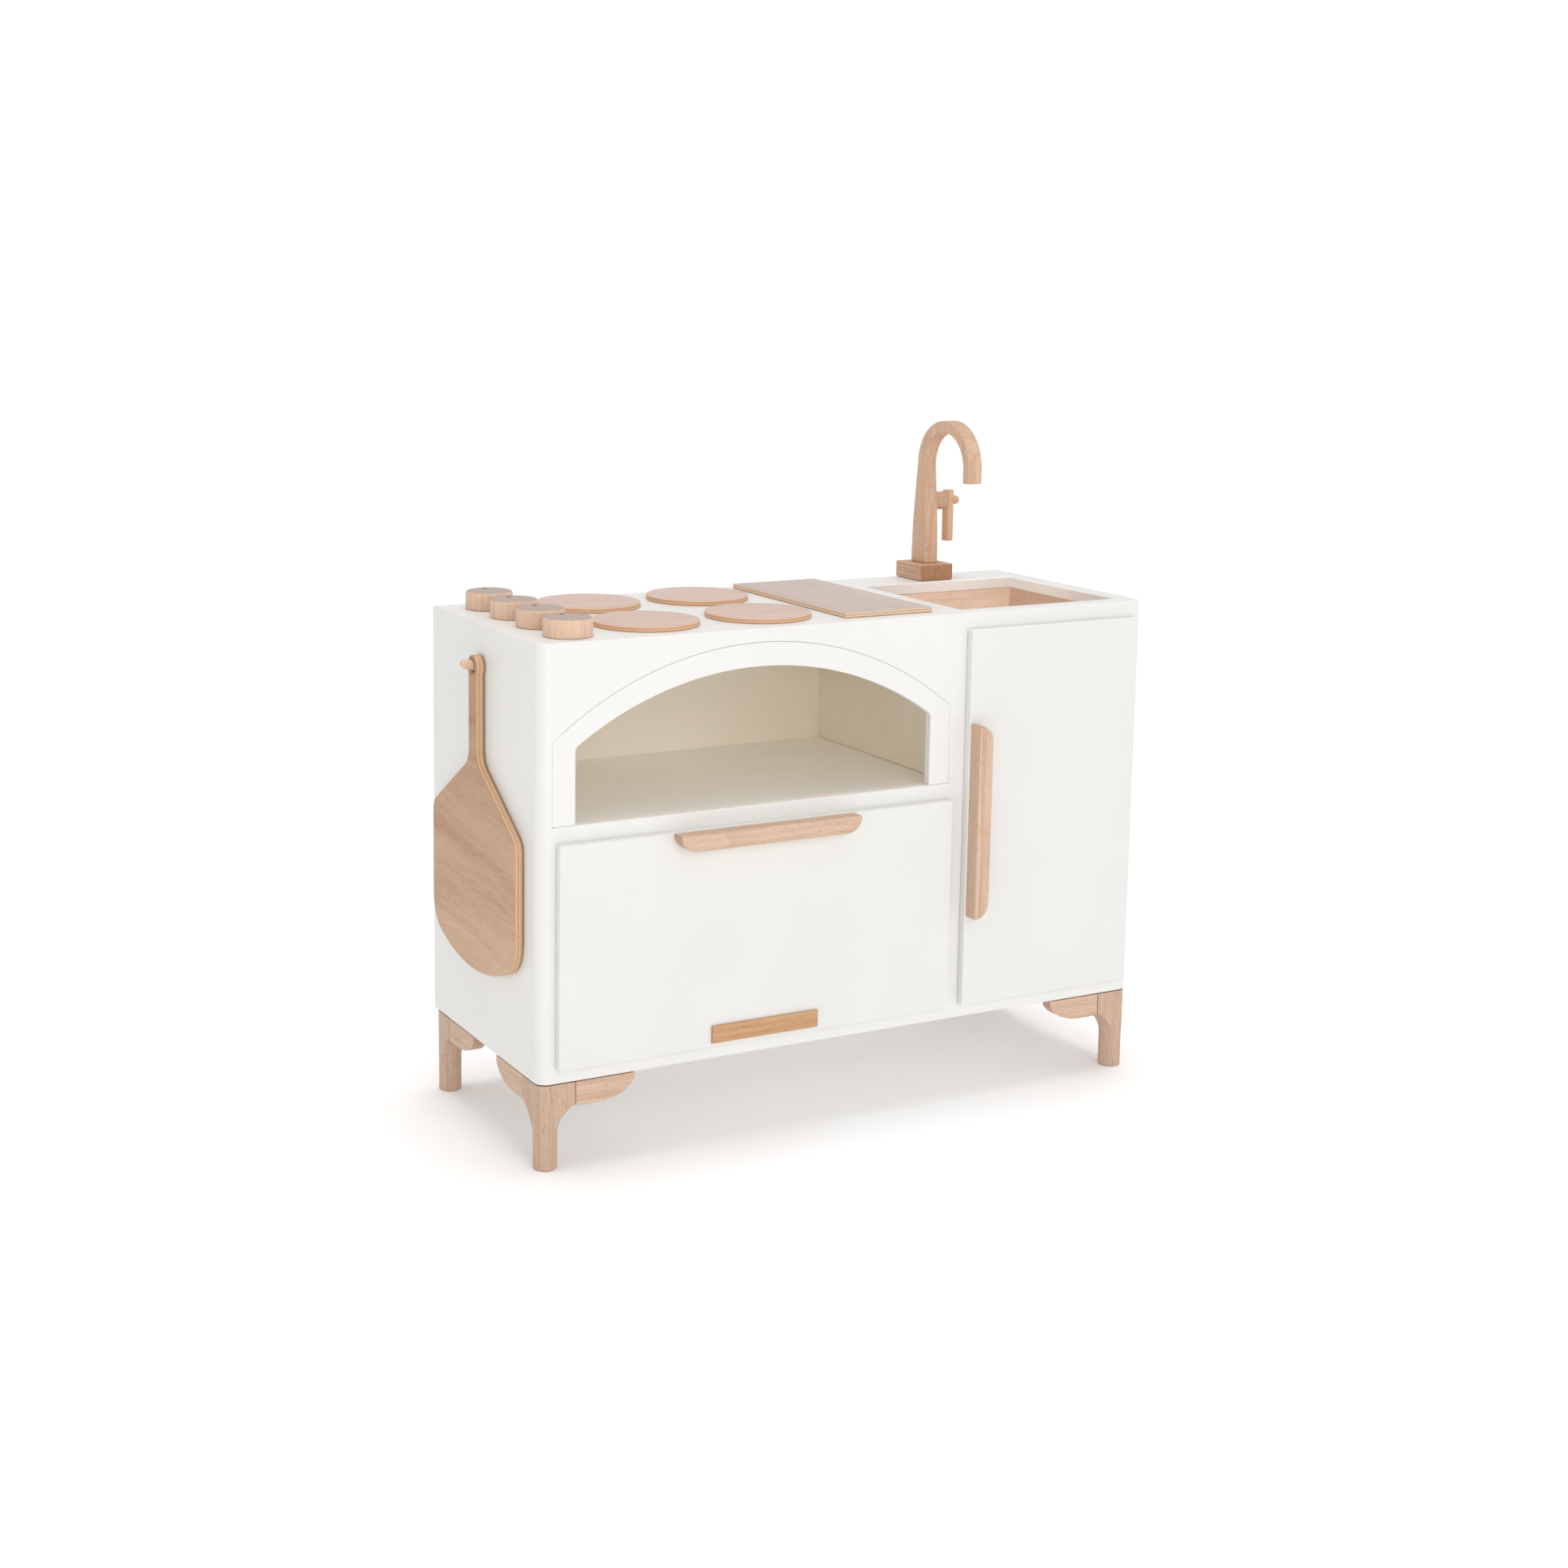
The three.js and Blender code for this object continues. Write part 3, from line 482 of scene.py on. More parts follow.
# A lighter copy of beech for the basin: painted light where light falls into the sink.
BEECH_SINK_LIT = beech(
    "beech_sink_painted_light", "X", pith=(0.03, 0.2), tone=1.3, warmth=-2.5, rings=0.1, cast=(1.05, 1.055, 1.0),
)
BEECH_Z = beech("beech_grain_upright", "Z", pith=(0.52, -0.28))
BEECH_HANDLE = beech("beech_handle", "Z", pith=(0.3, 0.35), ring=0.0042, rings=0.5, tone=1.02)
BEECH_LEG = beech("beech_leg", "Z", pith=(0.61, 0.33), ring=0.006, tone=0.9)
BEECH_WING_X = beech("beech_wing_across", "X", pith=(0.11, 0.16))
BEECH_WING_Y = beech("beech_wing_deep", "Y", pith=(0.41, 0.16), tone=0.96)
BEECH_TAP = beech(
    "beech_tap", "Z", pith=(0.27, 0.26), ring=0.0045, tone=1.05, warmth=1.0, end=(0.9, 0.86, 0.84),
)
BEECH_BASE = beech(
    "beech_tap_base", "Y", pith=(0.335, 0.71), ring=0.0028, tone=0.98, warmth=1.5,
    end=(0.76, 0.62, 0.52), rings=0.5,
)
BEECH_LEVER = beech("beech_lever", "Z", pith=(0.27, 0.26), ring=0.0045, tone=1.13, warmth=1.6)
BEECH_BOSS = beech("beech_boss", "X", pith=(0.03, 0.4), tone=0.9, warmth=2.0)
# A very dark beech for the inside of the knobs' dimples: painted shade in the small hollows.
DIMPLE_SHADE = beech("beech_dimple_painted_shade", "Z", pith=(0.06, 0.09), tone=0.3)
STEEL = steel("nickel_steel")

# ---------------------------------------------------------------- case

CORNER_RADIUS = 16.6 * MM
JOINT = 0.7 * MM
SEAM_DEPTH = 1.2 * MM
SEAM_FOOT = 2.4 * MM  # the side seams stop above the rounded bottom edge
DRAWER_MOUTH = (36, 586, 144.5, 407)  # left, right, low and high
DOOR_MOUTH = (631, 888, 143, 636)
ARCH_MIDDLE = across(307.8)
ARCH_OUTER = {"half": 290.6, "radius": 453.9, "centre": 195.4, "ease": 1.5}
ARCH_INNER = {"half": 259, "radius": 447.3, "centre": 171.2, "ease": 4}
SINK_WALL = 9 * MM
MARGIN = 20 * MM  # how far a cutter reaches past what it cuts
INSET = 6 * MM  # how far inside the case's outer faces the inner paint begins
NEAR = 2 * MM  # an edge closer than this to a plane belongs to it
EDGE_ROUND = 1.8 * MM
POST_LEFT, POST_RIGHT = across(18), across(40)  # the thin post left of the arch
POST_SHARE = 0.15
INSIDE_SHARE = 0.3  # how much of EDGE_ROUND the edges inside the case get


def arch_points(half, radius, centre, ease, foot, grow=0.0, steps=72):
    """The arch from its right foot over to its left foot, in x and z. Its spring corners are eased."""
    half = (half + grow) * MM
    radius = (radius + grow) * MM
    centre = centre * MM
    spring = math.degrees(math.acos(half / radius))
    eased = math.degrees(ease * MM / radius)
    start = spring + eased
    top = arc((ARCH_MIDDLE, centre), radius, start, 180 - start, steps)
    corner = (ARCH_MIDDLE + half, centre + radius * math.sin(math.radians(spring)))
    low = (corner[0], corner[1] - ease * MM)
    rise = [on_curve((low, corner, top[0]), i / 4) for i in range(4)]
    mirrored = [(2 * ARCH_MIDDLE - x, z) for x, z in reversed(rise)]
    return [(ARCH_MIDDLE + half, foot)] + rise + top + mirrored + [(ARCH_MIDDLE - half, foot)]


def mouth_cutter(name, mouth):
    """An opening in the front sheet."""
    left, right, low, high = mouth
    return block(
        name,
        (across(left), CASE_FRONT - MARGIN, low * MM),
        (across(right), SHEET_BACK + MARGIN, high * MM),
    )


def cavity(name, left, right, low, high):
    """A room behind the front sheet."""
    return block(name, (left, SHEET_BACK, low), (right, PANEL_LOW.y, high))


def oven_joints():
    """Thin slots round the back wall and the floor of the oven, where two sheets meet."""
    left, right, back = INNER_LEFT - JOINT, DIVIDER_LEFT + JOINT, PANEL_LOW.y
    return [
        block("cut_joint_back", (left, back - JOINT, OVEN_FLOOR - JOINT), (right, back, CEILING)),
        block("cut_joint_floor", (left, SHEET_BACK, OVEN_FLOOR), (right, back, OVEN_FLOOR + JOINT)),
    ]


def back_seams():
    """Fine slots in the back of the case, above and beside the panel that closes it."""
    low, high = PANEL_LOW, PANEL_HIGH
    front = CASE_BACK - SEAM_DEPTH
    behind = CASE_BACK + MARGIN
    foot = low.z + SEAM_FOOT
    return [
        block("cut_seam_upper", (low.x, front, high.z - JOINT), (high.x, behind, high.z)),
        block("cut_seam_left", (low.x, front, foot), (low.x + JOINT, behind, high.z)),
        block("cut_seam_right", (high.x - JOINT, front, foot), (high.x, behind, high.z)),
    ]


def sink_cutter():
    """The opening in the work top, inside the basin's walls."""
    low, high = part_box("sink_basin")
    return block(
        "cut_sink",
        (low.x + SINK_WALL, low.y + SINK_WALL, CEILING - MARGIN),
        (high.x - SINK_WALL, high.y - SINK_WALL, CASE_TOP + MARGIN),
    )


def paint_inside(shell):
    """A brighter, creamier copy of the white paint on the inner faces, as painted light and painted warm
    bounce light in the cavities, and a still brighter one, more painted light, on the oven's floor and the
    sink's cut edge.
    """
    for face in shell.data.polygons:
        c = face.center
        deep = SHEET_BACK - 1 * MM < c.y < CASE_BACK - INSET
        within = CASE_LEFT + INSET < c.x < CASE_RIGHT - INSET and c.z < CASE_TOP - 2 * MM
        if deep and within and c.z > CASE_BOTTOM + INSET:
            oven_floor = abs(c.z - OVEN_FLOOR) < 1 * MM and c.x < DIVIDER_LEFT
            # index 1 is the brighter inside paint and index 2 the brightest one, both painted light
            face.material_index = 2 if oven_floor or c.z > CEILING + 2 * MM else 1


def case_share(middle):
    """How much of the rounding an edge of the case gets: all of it outside and on the front sheet, less on
    the thin post beside the arch and inside, none at the back panel's slots."""
    beside_panel = PANEL_LOW.x - NEAR < middle.x < PANEL_HIGH.x + NEAR and middle.z < PANEL_HIGH.z + NEAR
    if middle.y > CASE_BACK - NEAR and beside_panel:
        return 0.0 if middle.z > CASE_BOTTOM + NEAR else 1.0
    on_post = middle.x < POST_RIGHT and OVEN_FLOOR < middle.z < CEILING
    if middle.y < CASE_FRONT + 1 * MM and on_post:
        way = max(0.0, middle.x - POST_LEFT) / (POST_RIGHT - POST_LEFT)
        return POST_SHARE + (1 - POST_SHARE) * way
    on_side = middle.x < CASE_LEFT + 1 * MM or middle.x > CASE_RIGHT - 1 * MM
    outside = on_side or middle.z < CASE_BOTTOM + 1 * MM or middle.z > CEILING
    return 1.0 if outside or middle.y < SHEET_BACK - NEAR else INSIDE_SHARE


def make_case():
    """The painted case as one shell, hollowed out and cut open like the CAD model's sheets."""
    r = CORNER_RADIUS
    plan = [(CASE_LEFT, CASE_BACK)]
    plan += arc((CASE_LEFT + r, CASE_FRONT + r), r, 180, 270, 14)
    plan += arc((CASE_RIGHT - r, CASE_FRONT + r), r, 270, 360, 14)
    plan += [(CASE_RIGHT, CASE_BACK)]
    shell = prism("case", plan, "Z", CASE_BOTTOM, CASE_TOP)

    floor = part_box("bottom_panel")[1].z
    arch = arch_points(**ARCH_OUTER, foot=OVEN_FLOOR)
    cutters = [
        cavity("cut_oven", INNER_LEFT, DIVIDER_LEFT, OVEN_FLOOR, CEILING),
        cavity("cut_drawer", INNER_LEFT, DIVIDER_LEFT, floor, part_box("oven_shelf")[0].z),
        cavity("cut_cupboard", DIVIDER_RIGHT, INNER_RIGHT, floor, CEILING),
        mouth_cutter("cut_drawer_mouth", DRAWER_MOUTH),
        mouth_cutter("cut_door_mouth", DOOR_MOUTH),
        prism("cut_arch", arch, "Y", CASE_FRONT - MARGIN, SHEET_BACK + 0.2 * MM),
        sink_cutter(),
        *back_seams(),
        *oven_joints(),
    ]
    combine(shell, cutters)
    for material in (PAINT, PAINT_INSIDE_LIT, PAINT_LIT_FLOOR_AND_RIM):
        shell.data.materials.append(material)
    paint_inside(shell)
    soften(shell, EDGE_ROUND, angle=40, share=case_share)
    nodes = ["side_panel_left", "side_panel_right", "bottom_panel", "back_panel", "centre_divider"]
    nodes += ["oven_shelf", "counter_top", "face_frame"]
    place(shell, "cabinet", "painted_wood", PAINT, *nodes)


def make_arch_band():
    """The band inset round the oven's mouth."""
    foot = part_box("arch_surround")[0].z
    outer = arch_points(**ARCH_OUTER, foot=foot, grow=-0.1)
    inner = arch_points(**ARCH_INNER, foot=foot)
    band = prism("arch_band", outer + inner[::-1], "Y", CASE_FRONT - 0.3 * MM, SHEET_BACK)
    soften(band, 1.3 * MM, angle=30)
    place(band, "cabinet", "painted_wood", PAINT, "arch_surround")


make_case()
make_arch_band()

# ---------------------------------------------------------------- legs

LEG = {"radius": 15.3, "inset": 1.0, "block": 50.8, "corner": 14.0, "flare": 42.0, "flare_foot": 45.0}
LEG_DROP = 1.1  # the dark line under the case
FOOT_ROUND = 2.6
WING_CURVE = 55 * MM
WING_END = 4 * MM
WING_GAP = 0.7 * MM
LEG_CORNERS = {  # in the order of quarter turns from the first
    "front_left": (CASE_LEFT, CASE_FRONT),
    "front_right": (CASE_RIGHT, CASE_FRONT),
    "back_right": (CASE_RIGHT, CASE_BACK),
    "back_left": (CASE_LEFT, CASE_BACK),
}


def make_leg(name, node, corner_place, turns):
    """A round post that flares like a trumpet into a square block with one rounded corner."""
    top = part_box(node)[1].z / MM - LEG_DROP
    radius = LEG["radius"]
    outer = -radius
    inner = LEG["block"] - LEG["inset"] - radius
    corner = LEG["corner"]
    plan = arc((outer + corner, outer + corner), corner, 180, 270, 24)
    plan += [(inner, outer), (inner, inner), (outer, inner)]
    centre = radius + LEG["flare"]
    profile = [(0, 0)] + arc((radius - FOOT_ROUND, FOOT_ROUND), FOOT_ROUND, -90, 0, 6)
    profile += arc((centre, LEG["flare_foot"]), LEG["flare"], 180, 90, 40)
    profile += [(centre, top), (0, top)]
    post = lathe(name, [(u * MM, v * MM) for u, v in profile], (0, 0, 0), segments=120)
    square = prism("plan", [(u * MM, v * MM) for u, v in plan], "Z", -MARGIN, top * MM)
    combine(post, [square], "INTERSECT")
    post.data.set_sharp_from_angle(angle=math.radians(14))
    middle = (LEG["inset"] + radius) * MM
    to_corner = Matrix.Translation((*corner_place, 0))
    quarter_turns = Matrix.Rotation(turns * math.pi / 2, 4, "Z")
    post.data.transform(to_corner @ quarter_turns @ Matrix.Translation((middle, middle, 0)))
    place(post, "cabinet", "beech", BEECH_LEG, node)


def make_wing(node):
    """A shallow bracket beside a leg, with an elliptical underside."""
    low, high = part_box(node)
    wide = high.x - low.x > high.y - low.y
    axis = "Y" if wide else "X"
    near, far = (low.x, high.x) if wide else (low.y, high.y)
    middle = (CASE_LEFT + CASE_RIGHT) / 2 if wide else (CASE_FRONT + CASE_BACK) / 2
    outward = 1 if near < middle else -1
    start, end = (near, far) if outward > 0 else (far, near)
    start += outward * WING_GAP
    top = high.z - LEG_DROP * MM
    outline = [(start, top), (start, low.z)]
    centre = (end - outward * WING_CURVE, high.z - WING_END)
    curve = arc(centre, WING_CURVE, -90, 0, 28, centre[1] - low.z)
    outline += [(centre[0] + outward * (u - centre[0]), v) for u, v in curve]
    outline += [(end, top)]
    sides = (low.y, high.y) if wide else (low.x, high.x)
    wing = prism(node + "_shaped", outline, axis, *sides)
    soften(wing, 0.9 * MM, angle=30)
    place(wing, "cabinet", "beech", BEECH_WING_X if wide else BEECH_WING_Y, node)


for number, (corner_name, corner_place) in enumerate(LEG_CORNERS.items()):
    make_leg(f"leg_{corner_name}_turned", f"leg_{corner_name}", corner_place, number)
for node_name in sorted(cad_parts):
    if node_name.startswith("leg_wing_"):
        make_wing(node_name)

# ---------------------------------------------------------------- drawer and door


def simple_piece(node, body, slot, material, width, segments=2, share=None):
    """A CAD node's own shape with rounded edges."""
    piece = soften(from_node(node), width, segments, share=share)
    return place(piece, body, slot, material, node)


def outline_first(node, inner=0.2):
    """A share for soften that rounds a panel's outer edges fully and the rims of its holes a little."""
    low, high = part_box(node)

    def share(middle):
        to_edge = min(middle.x - low.x, high.x - middle.x, middle.z - low.z, high.z - middle.z)
        return 1.0 if to_edge < 1 * MM else inner

    return share


def make_handle(node, body, material):
    """A straight grip bar with two fully rounded outer corners and softly rounded edges."""
    low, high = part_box(node)
    upright = high.z - low.z > high.x - low.x
    if upright:
        width = high.x - low.x
        outline = [(low.x, low.z)]
        outline += arc((low.x, low.z + width), width, 270, 360, 20)
        outline += arc((low.x, high.z - width), width, 0, 90, 20)
    else:
        width = high.z - low.z
        outline = arc((low.x + width, high.z), width, 180, 270, 20)
        outline += arc((high.x - width, high.z), width, 270, 360, 20)
    unique = list(dict.fromkeys((round(u, 7), round(v, 7)) for u, v in outline))
    bar = prism(node + "_shaped", unique, "Y", low.y, high.y)
    soften(bar, 1.6 * MM, segments=4, angle=30)
    place(bar, body, "beech", material, node)


PLY_DRAWER = plywood(
    "birch_ply_drawer", "Z", -1.0, 1.0, srgb(238, 218, 190), srgb(214, 186, 150),
    ply_layers(srgb(238, 218, 190), srgb(226, 202, 170), srgb(190, 158, 122), (0.9,)), "X",
)
simple_piece("drawer_front", "drawer", "painted_wood", PAINT_FRONTS_SHADED, 2.2 * MM, 4)
simple_piece(
    "door_panel", "door", "painted_wood", PAINT_FRONTS_SHADED, 2.2 * MM, 4, share=outline_first("door_panel"),
)
for node_name in ("drawer_side_left", "drawer_side_right", "drawer_back", "drawer_bottom"):
    simple_piece(node_name, "drawer", "plywood", PLY_DRAWER, 0.8 * MM)
for node_name in ("drawer_runner_left", "drawer_runner_right"):
    simple_piece(node_name, "cabinet", "beech", BEECH_Y, 0.8 * MM)
make_handle("drawer_handle", "drawer", BEECH_X)
make_handle("door_handle", "door", BEECH_HANDLE)
for place_name in ("lower", "upper"):
    simple_piece(f"door_hinge_cup_{place_name}", "door", "steel", STEEL, 0.5 * MM)
    simple_piece(f"door_hinge_arm_{place_name}", "cabinet", "steel", STEEL, 0.5 * MM)
simple_piece("door_magnet", "cabinet", "beech", BEECH_Z, 0.8 * MM)
simple_piece("door_strike_plate", "door", "steel", STEEL, 0.3 * MM)
PLATE_WOOD = beech("nameplate_wood", "X", tone=0.88, warmth=5.0, pith=(0.05, 0.3))
simple_piece("nameplate", "drawer", "ply_face", PLATE_WOOD, 0.5 * MM)

# ---------------------------------------------------------------- sink, hob, board and knobs

simple_piece("sink_basin", "cabinet", "beech", BEECH_SINK_LIT, 1.0 * MM)

THIN_SPLITS = (0.2, 0.5, 0.8)
DISC_LAYERS = ply_layers(
    srgb(232, 194, 158), srgb(222, 170, 124), srgb(150, 98, 62), THIN_SPLITS, line=0.05,
)


def upright_axis(node):
    """Where a round node's upright axis meets the floor."""
    low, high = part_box(node)
    return Vector(((low.x + high.x) / 2, (low.y + high.y) / 2, 0))


def make_disc(node):
    """A thin disc of plywood on the work top."""
    low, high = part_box(node)
    material = plywood(
        node + "_ply", "Z", low.z, high.z, srgb(216, 190, 178), srgb(202, 173, 158), DISC_LAYERS, "X",
    )
    profile = rounded_rod((high.x - low.x) / 2, low.z, high.z, 0.6 * MM, 1.1 * MM)
    disc = lathe(node + "_turned", profile, upright_axis(node), segments=160)
    place(disc, "cabinet", "ply_face", material, node)


for row in ("front", "back"):
    for side in ("left", "right"):
        make_disc(f"hob_disc_{row}_{side}")


def make_board():
    """The loose cutting board, with its veneer running from front to back."""
    low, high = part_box("cutting_board")
    layers = ply_layers(
        srgb(238, 214, 190), srgb(226, 186, 148), srgb(166, 120, 84), THIN_SPLITS, line=0.05,
    )
    material = plywood(
        "board_ply", "Z", low.z, high.z, srgb(205, 189, 180), srgb(190, 171, 160), layers, "Y",
    )
    simple_piece("cutting_board", "board", "ply_face", material, 0.8 * MM, 3)


make_board()

KNOB_ROUND = 4.2 * MM
DIMPLE = {"radius": 3.4, "depth": 2.4, "offset": 17.0}


def make_knob(number):
    """A turned knob with a rounded rim and a small dimple, cut by a drill, that marks where it points. The
    dimple's faces are painted dark: painted shade.
    """
    node = f"knob_{number}"
    low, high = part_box(node)
    centre = upright_axis(node)
    dimple = centre + Vector((0, DIMPLE["offset"] * MM, 0))
    profile = rounded_rod((high.x - low.x) / 2, low.z, high.z, 0.8 * MM, KNOB_ROUND, steps=7)
    knob = lathe(node + "_turned", profile, centre, segments=112)
    depth = high.z - DIMPLE["depth"] * MM
    drill = rounded_rod(DIMPLE["radius"] * MM, depth, high.z + 4 * MM, 1.2 * MM, 0.1 * MM)
    combine(knob, [lathe("drill", drill, dimple, segments=32)])
    knob.data.set_sharp_from_angle(angle=math.radians(40))
    pith = (centre.x + 0.05 + 0.01 * number, centre.y + 0.06)
    material = beech(
        node + "_beech", "Z", pith=pith, ring=0.004, tone=1.18, end=(0.6, 0.67, 0.8), rings=0.14,
        fleck_scale=720.0,
    )
    knob.data.materials.append(material)
    knob.data.materials.append(DIMPLE_SHADE)
    # the faces inside the dimple get the very dark beech as painted shade
    for face in knob.data.polygons:
        away = (face.center.xy - dimple.xy).length
        in_dimple_shade = depth - 1 * MM < face.center.z < high.z - 0.05 * MM
        if in_dimple_shade and away < DIMPLE["radius"] * 1.02 * MM:
            face.material_index = 1
    place(knob, f"turning_knob_{number}", "beech", material, node)
    simple_piece(f"knob_axle_{number}", f"turning_knob_{number}", "beech", BEECH_Z, 0.4 * MM)


for number in range(1, 5):
    make_knob(number)

# ---------------------------------------------------------------- tap

HOOK = {  # y from the case's front face, heights from the floor
    "arc_y": 253.0, "arc_height": 836.2, "outer": 64.5, "inner": 49.5, "drop": 1.7,
    "foot_front": 293.0, "foot_back": 328.5, "foot": 691.0, "end": 815.5,
}
# Each side of the column is a curve: one handle stands straight up from the foot, the other hangs from
# the arc, moved back by "shift".
BACK_SIDE = {"foot_handle": 55.0, "arc_handle": 40.0, "shift": 4.0}
FRONT_SIDE = {"foot_handle": 70.0, "arc_handle": 40.3, "shift": -3.0}
PIN = {"ball": 1.02, "wrap": math.radians(8), "set_in": 1.5 * MM}


def side_curve(foot, top, foot_handle, arc_handle, shift, steps=24):
    """The points of a side of the column between its foot and its top, without those two."""
    controls = (foot, (foot[0], foot[1] + foot_handle), (top[0] + shift, top[1] - arc_handle), top)
    return [on_curve(controls, i / steps) for i in range(1, steps)]


def make_spout():
    """The tap's column and hook, cut from one board."""
    h = HOOK
    foot_front, foot_back = (h["foot_front"], h["foot"]), (h["foot_back"], h["foot"])
    outer_centre, inner_centre = (h["arc_y"], h["arc_height"]), (h["arc_y"], h["arc_height"] - h["drop"])
    back_top = (h["arc_y"] + h["outer"], outer_centre[1])
    front_top = (h["arc_y"] + h["inner"], inner_centre[1])
    outline = [foot_front, foot_back]
    outline += side_curve(foot_back, back_top, **BACK_SIDE)
    outline += arc(outer_centre, h["outer"], 0, 180, 56)
    outline += [(h["arc_y"] - h["outer"], h["end"]), (h["arc_y"] - h["inner"], h["end"])]
    outline += arc(inner_centre, h["inner"], 180, 0, 56)
    outline += reversed(side_curve(foot_front, front_top, **FRONT_SIDE))
    low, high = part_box("tap_spout")
    points = [(inward(y), z * MM) for y, z in outline]
    hook = prism("tap_spout_shaped", points, "X", low.x, high.x)
    soften(hook, 1.5 * MM, segments=4, angle=30)
    place(hook, "tap", "beech", BEECH_TAP, "tap_spout")


def make_lever():
    """The hanging lever with rounded ends."""
    low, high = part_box("tap_lever")
    profile = rounded_rod((high.x - low.x) / 2, low.z, high.z, 1.5 * MM, 1.5 * MM, steps=3)
    stem = lathe("tap_lever_turned", profile, upright_axis("tap_lever"), segments=56)
    place(stem, "lever", "beech", BEECH_LEVER, "tap_lever")


def make_boss(middle):
    """The collar between the column and the lever, on the lever's axis."""
    low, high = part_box("tap_lever_boss")
    profile = rounded_rod((high.z - low.z) / 2, low.x, high.x, 0.6 * MM, 1.4 * MM)
    boss = lathe("tap_lever_boss_turned", profile, middle, "X", segments=72)
    place(boss, "tap", "beech", BEECH_BOSS, "tap_lever_boss")


def make_pin(middle):
    """The pin's ball head on the lever's outer side, set a little into it."""
    low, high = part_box("tap_lever_pin")
    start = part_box("tap_lever")[1].x + 0.3 * MM
    ball = PIN["ball"] * (high.z - low.z) / 2
    centre = high.x - ball
    begin = -math.acos(min(1.0, (centre - start) / ball)) - PIN["wrap"]
    steps = 12
    profile = [(0, start - PIN["set_in"])]
    for i in range(steps + 1):
        angle = begin + (math.pi / 2 - begin) * i / steps
        profile.append((ball * max(0.0, math.cos(angle)), centre + ball * math.sin(angle)))
    profile[-1] = (0, high.x)
    knob = lathe("tap_lever_pin_turned", profile, middle, "X", segments=48)
    place(knob, "tap", "beech", BEECH_TAP, "tap_lever_pin")


def make_tap_base():
    """The block that the column stands in."""
    base = block("tap_base_shaped", *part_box("tap_base"))
    soften(base, 2.0 * MM, segments=4)
    place(base, "cabinet", "beech", BEECH_BASE, "tap_base")


make_spout()
make_lever()
boss_low, boss_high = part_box("tap_lever_boss")
lever_axis = (0, (boss_low.y + boss_high.y) / 2, (boss_low.z + boss_high.z) / 2)
make_boss(lever_axis)
make_pin(lever_axis)
make_tap_base()

# ---------------------------------------------------------------- peel and peg

PEEL = {  # heights from the floor, widths from the middle
    "hole": 612.5, "hole_radius": 9.0, "head": 15.3, "neck": 12.3, "neck_foot": 490.0, "neck_ease": 17.0,
    "half": 134.5, "shoulder": 411.0, "shoulder_ease": 13.0, "bottom": 215.6, "bottom_radius": 262.0,
    "corner": 48.0,
}


def eased(before, corner, after, distance, steps=8):
    """Points that round off a corner between two straight stretches."""
    corner = Vector(corner)
    start = corner + (Vector(before) - corner).normalized() * distance
    end = corner + (Vector(after) - corner).normalized() * distance
    return [on_curve((start, corner, end), i / steps) for i in range(steps + 1)]


def peel_half():
    """The right half of the peel's outline, from the foot to the top of the head, in millimetres."""
    p = PEEL
    centre = p["bottom"] + p["bottom_radius"]
    corner_y = p["half"] - p["corner"]
    meet = math.asin(corner_y / (p["bottom_radius"] - p["corner"]))
    corner_z = centre - (p["bottom_radius"] - p["corner"]) * math.cos(meet)
    turn = math.degrees(meet)
    points = arc((0, centre), p["bottom_radius"], 270, 270 + turn, 20)
    points += arc((corner_y, corner_z), p["corner"], 270 + turn, 360, 18)[1:]
    shoulder = (p["half"], p["shoulder"])
    neck_foot = (p["neck"], p["neck_foot"])
    points += eased((p["half"], corner_z), shoulder, neck_foot, p["shoulder_ease"])
    points += eased(shoulder, neck_foot, (p["neck"], p["hole"]), p["neck_ease"])
    start = math.degrees(math.asin(p["neck"] / p["head"])) - 90
    points += arc((0, p["hole"]), p["head"], start, 90, 24)
    return points


def make_peel():
    """The flat wooden shovel with rounded edges, hung by the hole in its head."""
    low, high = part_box("pizza_peel")
    middle = (low.y + high.y) / 2
    half = peel_half()
    whole = half + [(-y, z) for y, z in reversed(half[1:-1])]
    outline = [(middle + y * MM, z * MM) for y, z in whole]
    peel = prism("pizza_peel_shaped", outline, "X", low.x, high.x)
    start, end = low.x - MARGIN, high.x + MARGIN
    hole = PEEL["hole_radius"] * MM
    rod = [(0, start), (hole, start), (hole, end), (0, end)]
    combine(peel, [lathe("bore", rod, (0, middle, PEEL["hole"] * MM), "X", segments=56)])
    soften(peel, 2.6 * MM, segments=5, angle=30)
    layers = ply_layers(
        srgb(224, 188, 150), srgb(208, 165, 124), srgb(112, 66, 36), (0.12, 0.32, 0.5, 0.7, 0.9),
        line=0.025,
    )
    material = plywood(
        "peel_ply", "X", low.x, high.x, srgb(212, 180, 150), srgb(180, 137, 104), layers, "Y",
        slant=-0.08, warm_above=(0.3, 0.6),
    )
    place(peel, "peel", "ply_face", material, "pizza_peel")


PEG = {"radius": 6.2, "reach": 28.5, "tilt": math.radians(12), "tip": 5.0, "root": 8.0, "slack": 0.3}


